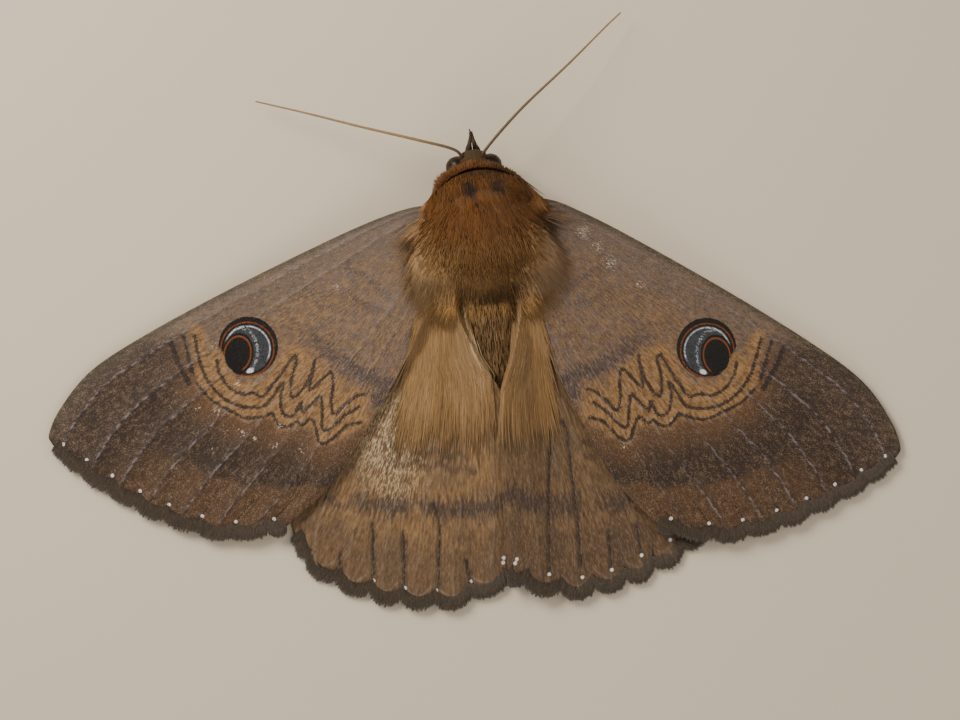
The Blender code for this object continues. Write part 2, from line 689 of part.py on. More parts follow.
def make_collar():
    """The raised roll of long scales behind the head."""
    stations = 12
    route = []
    radii = []
    for step in range(stations + 1):
        t = step / stations
        turn = math.radians(COLLAR_FROM_DEG + (COLLAR_TO_DEG - COLLAR_FROM_DEG) * t)
        route.append((COLLAR_CENTRE.x + COLLAR_RADIUS * math.cos(turn),
                      COLLAR_CENTRE.y + COLLAR_RADIUS * math.sin(turn), COLLAR_CENTRE.z))
        radii.append(COLLAR_HALF_WIDTH * (0.35 + 0.65 * math.sin(math.pi * t) ** 0.5))
    flatten = COLLAR_HALF_HEIGHT / COLLAR_HALF_WIDTH
    whole = tube("collar", route, radii, sides=8, flatten=flatten)
    chance = random.Random(COLLAR_SEED)
    locks = []
    for place in range(COLLAR_LOCKS):
        share = place / (COLLAR_LOCKS - 1)
        turn = math.radians(COLLAR_FROM_DEG + (COLLAR_TO_DEG - COLLAR_FROM_DEG) * share)
        turn += chance.uniform(-0.04, 0.04)
        length = COLLAR_LOCK_LENGTH * chance.uniform(*LENGTH_SPREAD)
        rise = COLLAR_LAYER * (place % 2) - 0.1
        lock = []
        for step in LOCK_STATIONS:
            reach = COLLAR_RADIUS - COLLAR_LOCK_ROOT + length * step
            lock.append((COLLAR_CENTRE.x + reach * math.cos(turn),
                         COLLAR_CENTRE.y + reach * math.sin(turn),
                         COLLAR_CENTRE.z + rise + 0.35 * math.sin(math.pi * step) - 0.15 * step))
        width = COLLAR_LOCK_WIDTH * chance.uniform(*WIDTH_SPREAD)
        locks.append(lock_mesh("lock", lock, width, LOCK_THICKNESS, (0.0, 0.0, 1.0)))
    furred = combine("collar", whole, locks, "UNION")
    cutters = [thorax_cutter()] + head_cutter()
    new_object("collar", combine("collar", furred, cutters, "DIFFERENCE"), "collar")


for leftover in list(bpy.data.objects):
    bpy.data.objects.remove(leftover)
make_thorax()
make_abdomen()
make_head()
make_collar()
for wing_side in ("left", "right"):
    make_forewing(wing_side)
    make_hindwing(wing_side)
    make_antenna(wing_side)
    make_palp(wing_side)
    for leg_pair in LEG_ROUTES:
        make_leg(leg_pair, wing_side)
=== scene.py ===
import functools
import math

import bmesh
import bpy
import numpy as np
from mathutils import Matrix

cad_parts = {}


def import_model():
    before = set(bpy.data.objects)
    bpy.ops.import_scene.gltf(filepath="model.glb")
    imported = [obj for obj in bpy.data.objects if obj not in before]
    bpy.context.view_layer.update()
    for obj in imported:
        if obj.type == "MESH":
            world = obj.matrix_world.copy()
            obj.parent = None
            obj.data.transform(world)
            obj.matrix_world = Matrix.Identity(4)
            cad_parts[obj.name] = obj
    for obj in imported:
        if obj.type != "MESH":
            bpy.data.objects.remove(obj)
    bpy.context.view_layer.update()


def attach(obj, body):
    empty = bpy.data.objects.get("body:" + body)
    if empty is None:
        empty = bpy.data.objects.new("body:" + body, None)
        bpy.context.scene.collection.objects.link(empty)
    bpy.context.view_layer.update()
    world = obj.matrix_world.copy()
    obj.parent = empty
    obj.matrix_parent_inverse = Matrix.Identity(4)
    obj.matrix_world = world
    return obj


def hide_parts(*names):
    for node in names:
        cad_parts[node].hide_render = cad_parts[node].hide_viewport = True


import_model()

# The table top is one plain pale board, and the light is that of a copy stand: a wide soft box
# above the moth's head and left wing, and two weaker ones that open the shadows. The camera
# looks straight down on the middle of the picture from 40 cm.
MILLIMETRE = 0.001
FLOOR_SIDE = 0.9
FLOOR_COLOUR = (0.8, 0.72, 0.6, 1.0)
CAMERA_AIM = (0.53, -4.95)
CAMERA_HEIGHT = 400.0
VIEW_WIDTH = 96.0
AIM_HEIGHT = 2.0
SENSOR_WIDTH = 36.0
# Each light: place in millimetres, side in millimetres, power in watts.
SOFT_BOXES = (((-140.0, 130.0, 170.0), 120.0, 0.6), ((240.0, 40.0, 240.0), 240.0, 0.2),
              ((-60.0, -320.0, 200.0), 260.0, 0.36))
LAMP_COLOUR = (1.0, 0.9, 0.76)
SKY = (1.0, 0.93, 0.84, 1.0)
SKY_STRENGTH = 0.3

floor_mesh = bpy.data.meshes.new("table_top")
half = FLOOR_SIDE / 2
floor_mesh.from_pydata([(-half, -half, -2e-5), (half, -half, -2e-5), (half, half, -2e-5),
                        (-half, half, -2e-5)], [], [(0, 1, 2, 3)])
floor = bpy.data.objects.new("table_top", floor_mesh)
bpy.context.scene.collection.objects.link(floor)
board = bpy.data.materials.new("pale_board")
board.use_nodes = True
board.node_tree.nodes["Principled BSDF"].inputs["Base Color"].default_value = FLOOR_COLOUR
board.node_tree.nodes["Principled BSDF"].inputs["Roughness"].default_value = 0.75
floor_mesh.materials.append(board)

for number, (place, side_length, power) in enumerate(SOFT_BOXES):
    lamp = bpy.data.lights.new("soft_box_%d" % number, "AREA")
    lamp.size = side_length * MILLIMETRE
    lamp.energy = power
    lamp.color = LAMP_COLOUR
    stand = bpy.data.objects.new(lamp.name, lamp)
    stand.location = [part * MILLIMETRE for part in place]
    aim = -stand.location
    stand.rotation_euler = aim.to_track_quat("-Z", "Y").to_euler()
    bpy.context.scene.collection.objects.link(stand)
sky = bpy.data.worlds.new("studio")
sky.use_nodes = True
sky.node_tree.nodes["Background"].inputs["Color"].default_value = SKY
sky.node_tree.nodes["Background"].inputs["Strength"].default_value = SKY_STRENGTH
bpy.context.scene.world = sky

lens = bpy.data.cameras.new("camera")
lens.sensor_width = SENSOR_WIDTH
lens.lens = SENSOR_WIDTH * (CAMERA_HEIGHT - AIM_HEIGHT) / VIEW_WIDTH
camera = bpy.data.objects.new("camera", lens)
camera.location = (CAMERA_AIM[0] * MILLIMETRE, CAMERA_AIM[1] * MILLIMETRE,
                   CAMERA_HEIGHT * MILLIMETRE)
bpy.context.scene.collection.objects.link(camera)
bpy.context.scene.camera = camera

# The forewings are thin scaled membranes on seven ribs, with a scalloped outer edge. Each grows
# from the side of the thorax and lies over the hindwing. Sizes are in millimetres in the moth's
# own frame: x sideways, y towards the head, z up.
THORAX_PLACE = (0.63, 7.55)
HEADING_DEG = 4.74
THORAX_CENTRE = (0.0, -0.4, 4.7)
THORAX_CORE = (4.7, 5.5, 3.5)
GAP = 0.3
HINGE = (5.25, 0.5)
SWEEP_DEG = {"left": 23.9, "right": 36.6}
SHEET_RISE = 4.0
SHEET_REACH = 17.0
SHEET_RIM = 0.95
SHEET_TIP_DROP = 0.35
FOREWING_COSTA = ((0.0, -3.0), (3.5, -3.7), (8.8, -4.2), (19.0, -4.7), (29.0, -4.8), (36.0, -4.3),
                  (40.6, -2.5), (43.0, -0.7))
FOREWING_MARGIN = ((43.5, 0.5), (42.4, 3.0), (41.0, 5.7), (39.4, 8.4), (37.6, 11.1), (35.2, 13.9),
                   (32.2, 16.6), (26.4, 19.0))
FOREWING_DORSUM = ((4.2, 7.2), (7.6, 9.7), (11.0, 12.0), (15.2, 14.5), (20.4, 17.3))
# Notches are shares of the outer edge's length. A rib ends in the middle of each cell between two
# of them, and starts at a share of the wing's length; the last, narrow cell has none.
FOREWING_NOTCHES = (0.0, 0.15, 0.27, 0.39, 0.515, 0.65, 0.78, 0.925, 1.0)
FOREWING_SCALLOP = 0.5
FOREWING_ROOT_DEG = (38.0, -17.0)
FOREWING_GRID = (281, 177)
VEIN_STARTS = (0.0, 0.08, 0.5, 0.54, 0.5, 0.1, 0.0, 2.0)
UNDERSIDE_STEP = 4
EDGE_INSET = 0.3
FACE_ABOVE = 0.19
FACE_BELOW = 0.13
RIM_THINNING = 0.11
VEIN_RIDGE = 0.06
VEIN_HALF_WIDTH = 0.22
PLEAT = 0.05


def ease(low, high, value):
    """Rise smoothly from 0 at low to 1 at high."""
    step = np.clip((np.asarray(value, float) - low) / (high - low), 0.0, 1.0)
    return step * step * (3.0 - 2.0 * step)


def world(points):
    """Points of the moth's frame in millimetres as places on the table in metres."""
    points = np.asarray(points, float)
    turn = math.radians(HEADING_DEG)
    x = THORAX_PLACE[0] + points[..., 0] * math.cos(turn) - points[..., 1] * math.sin(turn)
    y = THORAX_PLACE[1] + points[..., 0] * math.sin(turn) + points[..., 1] * math.cos(turn)
    return np.stack((x, y, points[..., 2]), axis=-1) * MILLIMETRE


def sheet_height(x, y):
    """Height of the middle of the forewing's membrane over the table."""
    reach = np.exp(-((np.abs(x) / SHEET_REACH) ** 1.7))
    rear = 1.0 - 0.75 * ease(-5.0, -40.0, y)
    rim = SHEET_RIM - SHEET_TIP_DROP * ease(26.0, 40.0, np.abs(x))
    return rim + SHEET_RISE * reach * rear


def smooth_curve(points, fractions, steps=16):
    """Points at the given fractions of the length of a smooth curve through the given points."""
    knots = [np.array(point, dtype=float) for point in points]
    knots = [2 * knots[0] - knots[1]] + knots + [2 * knots[-1] - knots[-2]]
    t = (np.arange(steps) / steps)[:, None]
    curve = []
    for before, start, end, after in zip(knots, knots[1:], knots[2:], knots[3:]):
        curve.append(0.5 * (2 * start + (end - before) * t
                            + (2 * before - 5 * start + 4 * end - after) * t ** 2
                            + (3 * start - before - 3 * end + after) * t ** 3))
    curve = np.concatenate(curve + [knots[-2][None]])
    lengths = np.concatenate(([0.0], np.cumsum(np.linalg.norm(np.diff(curve, axis=0), axis=1))))
    wanted = np.asarray(fractions) * lengths[-1]
    return np.stack([np.interp(wanted, lengths, axis) for axis in curve.T], axis=1)


def swept(points, sweep_deg):
    """Turn points of the forewing's outline about the hinge, into the moth's frame."""
    turn = math.radians(sweep_deg)
    points = np.asarray(points, float)
    return np.stack((
        HINGE[0] + points[:, 0] * math.cos(turn) - points[:, 1] * math.sin(turn),
        HINGE[1] - points[:, 0] * math.sin(turn) - points[:, 1] * math.cos(turn)), axis=1)


def unswept(points, sweep_deg):
    """Turn points of the moth's frame back to the forewing's own frame."""
    turn = math.radians(sweep_deg)
    x = points[:, 0] - HINGE[0]
    y = points[:, 1] - HINGE[1]
    return np.stack((x * math.cos(turn) - y * math.sin(turn),
                     -x * math.sin(turn) - y * math.cos(turn)), axis=1)


def root_arc(angles, count):
    """Where a wing's root meets the side of the thorax."""
    turn = np.radians(np.linspace(angles[0], angles[1], count))
    return np.stack(((THORAX_CORE[0] + GAP) * np.cos(turn),
                     THORAX_CENTRE[1] + (THORAX_CORE[1] + GAP) * np.sin(turn)), axis=1)


def scalloped(points, notches, depth, columns):
    """The membrane's outer edge, which bulges at each rib between two notches."""
    cells = len(notches) - 1
    fractions = np.interp(columns, np.linspace(0.0, 1.0, cells + 1), notches)
    edge = smooth_curve(points, fractions)
    run = smooth_curve(points, np.minimum(fractions + 0.01, 1.0))
    run -= smooth_curve(points, np.maximum(fractions - 0.01, 0.0))
    run /= np.linalg.norm(run, axis=1)[:, None]
    outwards = np.stack((-run[:, 1], run[:, 0]), axis=1)
    if np.dot(outwards[len(edge) // 2], edge[len(edge) // 2]) < 0.0:
        outwards = -outwards
    bulge = depth * np.sin(math.pi * np.mod(columns * cells, 1.0)) ** 0.6
    return edge, outwards, bulge * ease(0.0, 0.14, fractions)


def wing_grid(root, leading, margin, trailing):
    """Fill the space between four edges of a wing with a grid of points seen from above."""
    s = np.linspace(0.0, 1.0, len(leading))[:, None, None]
    t = np.linspace(0.0, 1.0, len(root))[None, :, None]
    return ((1 - t) * leading[:, None] + t * trailing[:, None]
            + (1 - s) * root[None] + s * margin[None]
            - (1 - s) * ((1 - t) * root[0] + t * root[-1])
            - s * ((1 - t) * margin[0] + t * margin[-1]))


def triangle_mesh(name, points, triangles):
    """A smooth-shaded piece from arrays of points in metres and of triangles."""
    mesh = bpy.data.meshes.new(name)
    mesh.vertices.add(len(points))
    mesh.vertices.foreach_set("co", np.ascontiguousarray(points, dtype=np.float32).ravel())
    mesh.loops.add(triangles.size)
    mesh.loops.foreach_set("vertex_index", np.ascontiguousarray(triangles, np.int32).ravel())
    mesh.polygons.add(len(triangles))
    mesh.polygons.foreach_set("loop_start", np.arange(len(triangles), dtype=np.int32) * 3)
    mesh.update(calc_edges=True)
    mesh.shade_smooth()
    piece = bpy.data.objects.new(name, mesh)
    bpy.context.scene.collection.objects.link(piece)
    return piece


def mark(piece, name, values):
    """Give each point of a piece a number, or three, that its finish can read."""
    kind = "FLOAT" if values.ndim == 1 else "FLOAT_VECTOR"
    layer = piece.data.attributes.new(name, kind, "POINT")
    field = "value" if values.ndim == 1 else "vector"
    layer.data.foreach_set(field, np.ascontiguousarray(values, np.float32).ravel())


def bake_map(piece, places):
    """Give a piece its map for baking, from a place for each of its points."""
    corners = np.empty(len(piece.data.loops), np.int32)
    piece.data.loops.foreach_get("vertex_index", corners)
    layer = piece.data.uv_layers.new(name="OFBake")
    layer.data.foreach_set("uv", np.ascontiguousarray(places[corners], np.float32).ravel())


def grid_triangles(rows, columns, offset=0, flip=False):
    """Two triangles for each cell of a grid whose points are numbered row by row."""
    first = (np.arange(rows - 1)[:, None] * columns + np.arange(columns - 1)[None]).ravel()
    first = first + offset
    a, b, c, d = first, first + 1, first + columns + 1, first + columns
    triangles = np.concatenate((np.stack((a, b, c), 1), np.stack((a, c, d), 1)))
    return triangles[:, ::-1] if flip else triangles


def border(rows, columns):
    """Numbers of the points around a grid, in order."""
    return np.concatenate((
        np.arange(columns - 1), np.arange(rows - 1) * columns + columns - 1,
        (rows - 1) * columns + np.arange(columns - 1, 0, -1),
        np.arange(rows - 1, 0, -1) * columns))


def wing_sheet(name, side, upper, lower):
    """A closed sheet with a fine upper face, a coarser underside and a strip around the rim."""
    rows, columns = upper.shape[:2]
    low_rows, low_columns = lower.shape[:2]
    offset = rows * columns
    points = np.concatenate((upper.reshape(-1, 3), lower.reshape(-1, 3)))
    flip = side == "right"
    fine = border(rows, columns)
    coarse = border(low_rows, low_columns) + offset
    strip = []
    half_step = UNDERSIDE_STEP // 2
    for place, here in enumerate(coarse):
        there = coarse[(place + 1) % len(coarse)]
        run = [fine[(place * UNDERSIDE_STEP + step) % len(fine)]
               for step in range(UNDERSIDE_STEP + 1)]
        for step in range(UNDERSIDE_STEP):
            strip.append((run[step + 1], run[step], here if step < half_step else there))
        strip.append((here, there, run[half_step]))
    strip = np.array(strip)
    if flip:
        strip = strip[:, ::-1]
    triangles = np.concatenate((
        grid_triangles(rows, columns, 0, flip),
        grid_triangles(low_rows, low_columns, offset, not flip), strip))
    return triangle_mesh(name, world(points), triangles)


def wing_relief(s, t, width, cells, starts):
    """Height of a wing's ribs over its membrane, and how far each point is from the nearest."""
    nearest = np.full(s.shape, 9.0)
    for cell, start in enumerate(starts):
        away = np.abs(t - (cell + 0.5) / cells) * width + 9.0 * (1.0 - ease(start - 0.05, start, s))
        nearest = np.minimum(nearest, away)
    ridge = VEIN_RIDGE * np.exp(-((nearest / VEIN_HALF_WIDTH) ** 2))
    pleat = PLEAT * ease(0.35, 0.9, s) * np.cos(2.0 * math.pi * (cells * t - 0.5))
    return ridge + pleat, nearest


def forewing_shape(side):
    """Points of a forewing's faces and, for each point, where it is on the wing."""
    rows, columns = FOREWING_GRID
    sweep = SWEEP_DEG[side]
    edge, outwards, bulge = scalloped(swept(FOREWING_MARGIN, sweep), FOREWING_NOTCHES,
                                      FOREWING_SCALLOP, np.linspace(0.0, 1.0, columns))
    margin = edge + outwards * (bulge - EDGE_INSET)[:, None]
    root = root_arc(FOREWING_ROOT_DEG, columns)
    lengths = np.linspace(0.0, 1.0, rows)
    costa = smooth_curve([root[0], *swept(FOREWING_COSTA, sweep), margin[0]], lengths)
    dorsum = smooth_curve([root[-1], *swept(FOREWING_DORSUM, sweep), margin[-1]], lengths)
    return wing_grid(root, costa, margin, dorsum), (edge, outwards, bulge)


def wing_faces(flat, side, height, starts, smooth=1.0):
    """Upper and lower face of a wing over a grid seen from above, and its distances."""
    rows, columns = flat.shape[:2]
    s = np.repeat(np.linspace(0.0, 1.0, rows)[:, None], columns, axis=1)
    t = np.repeat(np.linspace(0.0, 1.0, columns)[None], rows, axis=0)
    width = np.linalg.norm(np.gradient(flat, axis=1), axis=2) * (columns - 1)
    length = np.linalg.norm(np.gradient(flat, axis=0), axis=2) * (rows - 1)
    to_edge = np.minimum(np.minimum(t, 1.0 - t) * width, (1.0 - s) * length)
    relief, to_vein = wing_relief(s, t, width, len(starts), starts)
    relief = relief * smooth
    x = flat[..., 0] * (-1.0 if side == "left" else 1.0)
    y = flat[..., 1]
    middle = height(x, y)
    thin = RIM_THINNING * (1.0 - ease(0.0, 1.6, to_edge))
    upper = np.stack((x, y, middle + FACE_ABOVE - thin + relief), axis=2)
    lower = np.stack((x, y, middle - FACE_BELOW + thin * 0.7 + pleat_share(relief)), axis=2)
    step = UNDERSIDE_STEP
    places = {"s": s, "t": t, "to_margin": (1.0 - s) * length, "to_vein": to_vein,
              "width": width}
    both = {}
    for name, values in places.items():
        both[name] = np.concatenate((values.ravel(), values[::step, ::step].ravel()))
    both["flat"] = np.concatenate((flat.reshape(-1, 2), flat[::step, ::step].reshape(-1, 2)))
    low_count = values[::step, ::step].size
    both["under"] = np.concatenate((np.zeros(values.size), np.ones(low_count)))
    return upper, lower[::step, ::step], both


def pleat_share(relief):
    """The underside follows the membrane's pleats at half their depth."""
    return relief * 0.5


# Markings of the forewing, in its own frame: first number outwards from the hinge, second
# number backwards. They are rows of dark scales among ochre ones.
ZIGZAGS = (
    ((24.6, 0.9), (25.0, 2.1), (24.9, 3.7), (24.1, 5.0), (23.0, 5.5), (22.3, 6.3), (21.0, 5.8),
     (19.2, 5.0), (17.6, 4.2), (17.6, 4.8), (18.9, 6.1), (19.8, 7.7), (19.1, 7.8), (17.3, 6.9),
     (15.8, 5.5), (17.1, 7.0), (17.9, 8.0), (16.8, 7.8), (15.1, 7.4), (15.5, 8.6), (16.5, 10.0),
     (16.9, 11.3), (15.5, 11.0), (13.9, 10.8), (13.2, 11.0)),
    ((25.4, -2.4), (26.2, 0.3), (26.4, 1.9), (26.2, 3.5), (25.7, 4.9), (24.7, 6.1), (23.5, 6.9),
     (22.4, 7.2), (21.1, 6.6), (19.7, 6.0), (20.7, 7.1), (21.3, 8.4), (21.1, 9.2), (20.4, 9.4),
     (19.2, 8.6), (19.6, 9.6), (17.9, 9.2), (17.2, 9.1), (17.8, 10.5), (18.6, 12.1), (17.6, 12.3),
     (16.0, 11.9), (14.4, 11.8)),
    ((27.5, 2.0), (27.1, 3.9), (26.5, 5.0), (25.7, 6.2), (24.8, 7.4), (23.4, 8.0), (22.3, 8.2),
     (22.3, 8.7), (22.1, 9.8), (21.3, 10.2), (20.5, 10.1), (20.2, 10.7), (19.1, 10.6),
     (19.2, 11.8), (19.5, 12.9), (19.1, 13.4), (17.8, 13.3), (16.2, 12.9), (14.9, 13.3)),
)
ARCS = (((26.4, -2.8), (27.4, 1.1)), ((27.0, -1.0), (27.5, 1.0)))
THICK_ARC = ((27.8, -3.0), (28.15, -0.8), (28.2, 1.6))
OCHRE_PATCH = ((25.2, -3.2), (26.6, 0.4), (27.4, 2.2), (27.1, 3.9), (26.5, 5.0), (25.7, 6.2),
               (24.8, 7.4), (22.3, 8.4), (22.2, 9.8), (20.4, 10.4), (19.3, 11.6), (19.4, 13.2),
               (17.8, 13.5), (14.6, 13.6), (13.0, 12.6), (13.4, 10.6), (14.8, 8.6), (15.8, 6.2),
               (16.6, 3.8), (17.4, 1.2), (18.6, -1.6), (21.5, -3.2))
MIDDLE_BAND = ((15.3, 2.6), (14.2, 6.1), (12.9, 8.6), (10.8, 11.2), (12.4, 12.3))
ROOT_BANDS = (((8.6, -1.0), (7.6, 0.9), (6.4, 3.7)), ((9.8, 1.1), (9.3, 2.8), (7.9, 4.5)))
MARGIN_DOTS = ((42.2, 0.9), (40.9, 3.4), (39.4, 6.0), (37.7, 8.7), (35.8, 11.3), (33.4, 13.9),
               (30.7, 16.0), (27.2, 17.6))
DOT_RADIUS = 0.17
MAP_EDGE = 0.02
FOREWING_MAP_START = 6.0
FOREWING_MAP_SCALE = 0.96 / 52.0
# How far a dark crease runs inwards from each dot.
CREASES = (0.0, 0.6, 0.9, 1.6, 2.4, 3.3, 4.6, 5.4, 0.0)
DARK_EDGE = 6.1
EYESPOT = {"centre": (21.18, 1.2), "rim": 3.14, "rings": (21.38, 1.38), "pupil": (22.5, 1.35),
           "cut": 23.78, "pupil_long": 1.55, "pupil_wide": 1.16, "pupil_turn": 39.5,
           "blob": (22.2, 3.45)}
# Where scales are rubbed off: place, radius, on the left wing and on the right wing.
RUBBED = {
    "left": (((23.9, 3.9), 1.2), ((27.0, 5.3), 1.2), ((27.4, 7.3), 1.0), ((26.0, 8.4), 1.2),
             ((22.2, 9.6), 0.9), ((24.3, -0.4), 1.2), ((28.6, 4.2), 1.1), ((23.6, 11.2), 1.0),
             ((10.5, 0.2), 1.1), ((25.0, 9.6), 0.9), ((20.9, 10.9), 0.7), ((21.6, 12.9), 0.9),
             ((29.4, 8.6), 0.8), ((26.3, 6.1), 0.6)),
    "right": (((19.4, 13.9), 1.0), ((4.6, -2.1), 2.2), ((8.5, -0.9), 1.9), ((22.0, 9.1), 0.6),
              ((6.6, -1.6), 1.6), ((12.2, -0.6), 1.3)),
}


def line_distance(points, line):
    """Distance of each point from a bent line, in the same units."""
    line = np.asarray(line, float)
    nearest = np.full(len(points), np.inf)
    for start, end in zip(line[:-1], line[1:]):
        run = end - start
        share = np.clip((points - start) @ run / (run @ run), 0.0, 1.0)
        nearest = np.minimum(nearest, np.linalg.norm(points - start - share[:, None] * run, axis=1))
    return nearest


def outline_distance(points, outline):
    """Distance of each point from a closed outline, negative inside it."""
    outline = np.asarray(outline, float)
    after = np.roll(outline, -1, axis=0)
    within = np.zeros(len(points), bool)
    for (ax, ay), (bx, by) in zip(outline, after):
        spans = (points[:, 1] < ay) != (points[:, 1] < by)
        crossing = ax + (points[:, 1] - ay) * (bx - ax) / (by - ay if by != ay else 1.0)
        within ^= spans & (points[:, 0] < crossing)
    away = line_distance(points, np.concatenate((outline, outline[:1])))
    return np.where(within, -away, away)


def spot_distance(points, spots):
    """Distance of each point from the nearest of several spots."""
    gaps = [np.linalg.norm(points - np.array(spot), axis=1) for spot in spots]
    return np.min(gaps, axis=0)


def rounded(line):
    """A zigzag line with its corners a little rounded."""
    count = len(line) * 4
    return smooth_curve(line, np.linspace(0.0, 1.0, count), steps=6)


def rubbed_share(points, side):
    """How much of its scales each point has lost, from 0 to 1."""
    share = np.zeros(len(points))
    for place, radius in RUBBED[side]:
        away = np.linalg.norm(points - np.array(place), axis=1)
        share = np.maximum(share, 1.0 - ease(0.0, radius, away))
    return share


def crease_distance(both, cells, lengths):
    """Distance from the nearest of the creases that run inwards from the margin's dots."""
    nearest = np.full(both["t"].shape, 9.0)
    for number, reach in enumerate(lengths):
        away = np.abs(both["t"] - number / cells) * both["width"]
        away = away + 2.0 * ease(reach - 0.5, reach + 0.1, both["to_margin"])
        nearest = np.minimum(nearest, away)
    return nearest


def forewing_map(u, v, under=0.0):
    """Places on a forewing's map, with the underside half a map above the upper face."""
    return np.stack(((u + FOREWING_MAP_START) * FOREWING_MAP_SCALE + MAP_EDGE,
                     (v + FOREWING_MAP_START) * FOREWING_MAP_SCALE + MAP_EDGE + 0.5 * under), 1)


def mark_forewing(piece, both, side):
    """Work out where each point of a forewing lies among the wing's markings."""
    points = unswept(both["flat"], SWEEP_DEG[side])
    u, v = points.T
    shift = 0.0 if side == "left" else 90.0
    around = np.arctan2(v + 0.5, u + 6.0)
    mark(piece, "lay", np.stack((around * 30.0 + shift, np.hypot(u + 6.0, v), both["under"]), 1))
    mark(piece, "wing", np.stack((u, v, both["t"] * both["width"]), 1))
    mark(piece, "zigzags", np.stack([line_distance(points, rounded(line)) for line in ZIGZAGS], 1))
    arcs = np.min([line_distance(points, arc) for arc in ARCS], axis=0)
    thick = line_distance(points, THICK_ARC)
    middle = line_distance(points, MIDDLE_BAND)
    roots = np.min([line_distance(points, band) for band in ROOT_BANDS], axis=0)
    mark(piece, "bands", np.stack((np.minimum(arcs, thick - 0.13), middle, roots), 1))
    patch = outline_distance(points, OCHRE_PATCH)
    outer_side = ease(22.5, 27.0, u + 0.9 * v)
    ochre = 1.0 - ease(-0.3, 0.9, patch)
    beyond = outer_side * ease(-0.2, 0.6, patch)
    mark(piece, "zones", np.stack((ochre, beyond, patch), 1))
    mark(piece, "ribs", np.stack((both["to_vein"], both["to_margin"], both["s"]), 1))
    dots = spot_distance(points, MARGIN_DOTS)
    creases = crease_distance(both, len(CREASES) - 1, CREASES)
    mark(piece, "flaws", np.stack((creases, dots, rubbed_share(points, side)), 1))
    bake_map(piece, forewing_map(u, v, both["under"]))


class Shade:
    """A socket among the nodes of a finish: arithmetic on it adds Math nodes."""

    def __init__(self, tree, socket=None):
        self.tree = tree
        self.socket = socket

    def node(self, kind, settings=None, sockets=None, output=0):
        """Add a node of any type: its settings first, then its sockets' values or links."""
        made = self.tree.nodes.new(kind)
        for name, value in (settings or {}).items():
            setattr(made, name, value)
        for key, value in (sockets or {}).items():
            if isinstance(value, Shade):
                self.tree.links.new(value.socket, made.inputs[key])
            else:
                made.inputs[key].default_value = value
        return Shade(self.tree, made.outputs[output])

    def maths(self, operation, first, second=0.0):
        return self.node("ShaderNodeMath", {"operation": operation}, {0: first, 1: second})

    def __add__(self, other):
        return self.maths("ADD", self, other)

    def __sub__(self, other):
        return self.maths("SUBTRACT", self, other)

    def __mul__(self, other):
        return self.maths("MULTIPLY", self, other)

    def __truediv__(self, other):
        return self.maths("DIVIDE", self, other)

    def __pow__(self, other):
        return self.maths("POWER", self, other)

    def __rsub__(self, other):
        return self.maths("SUBTRACT", other, self)

    __radd__ = __add__
    __rmul__ = __mul__

    def rise(self, low, high):
        """Go smoothly from 0 at low to 1 at high, or down where high is under low."""
        up = high > low
        return self.node("ShaderNodeMapRange", {"interpolation_type": "SMOOTHSTEP"},
                         {"Value": self, "From Min": low if up else high,
                          "From Max": high if up else low, "To Min": 0.0 if up else 1.0,
                          "To Max": 1.0 if up else 0.0})

    def least(self, other):
        return self.maths("MINIMUM", self, other)

    def most(self, other):
        return self.maths("MAXIMUM", self, other)

    def read(self, name, output="Vector"):
        """The number or numbers that the piece's points carry under a name."""
        return self.node("ShaderNodeAttribute", {"attribute_name": name}, output=output)

    def axis(self, letter):
        """One of the three numbers of a vector."""
        return self.node("ShaderNodeSeparateXYZ", sockets={0: self}, output=letter)

    def noise(self, stretch, detail=2.0, roughness=0.55, flat=True):
        """Cloudy variation around 0.5 over the place that this socket gives."""
        place = self.node("ShaderNodeVectorMath", {"operation": "MULTIPLY"},
                          {0: self, 1: stretch})
        return self.node("ShaderNodeTexNoise", {"noise_dimensions": "2D" if flat else "3D"},
                         {"Vector": place, "Scale": 1.0, "Detail": detail,
                          "Roughness": roughness}, output="Fac")

    def blend(self, share, first, second):
        """Go from the first colour to the second as the share goes from 0 to 1."""
        return self.node("ShaderNodeMix", {"data_type": "RGBA"},
                         {0: share, 6: first, 7: second}, output=2)

    def length(self, across, along):
        """Distance from the middle of a ring, from the two parts of the way to it."""
        return self.maths("SQRT", across * across + along * along)


def tone(code):
    """A colour written as a hexadecimal number, as the linear red, green and blue of a socket."""
    parts = [((code >> shift) & 255) / 255.0 for shift in (16, 8, 0)]
    return tuple((part / 12.92 if part <= 0.04045 else ((part + 0.055) / 1.055) ** 2.4)
                 for part in parts) + (1.0,)


def new_finish(name, **values):
    """A material, and the start of an expression that feeds its shader."""
    material = bpy.data.materials.new(name)
    material.use_nodes = True
    shader = material.node_tree.nodes["Principled BSDF"]
    for key, value in values.items():
        shader.inputs[key.replace("_", " ")].default_value = value
    return material, Shade(material.node_tree)


def finish(material, paint, colour, roughness, height=None, depth=0.03, strength=0.6):
    """Lead a colour, a roughness and a height in millimetres to a material's shader."""
    shader = material.node_tree.nodes["Principled BSDF"]
    material.node_tree.links.new(colour.socket, shader.inputs["Base Color"])
    if isinstance(roughness, Shade):
        material.node_tree.links.new(roughness.socket, shader.inputs["Roughness"])
    else:
        shader.inputs["Roughness"].default_value = roughness
    if height is not None:
        bump = paint.node("ShaderNodeBump", {},
                          {"Height": height, "Distance": depth * MILLIMETRE,
                           "Strength": strength}, output="Normal")
        material.node_tree.links.new(bump.socket, shader.inputs["Normal"])


def scale_grain(lay):
    """The rows of scales, as a fine and a broad grain that run outwards along the wing."""
    return lay.noise((15.0, 5.6, 0.0), detail=2.0), lay.noise((3.8, 1.3, 0.0), detail=3.0)


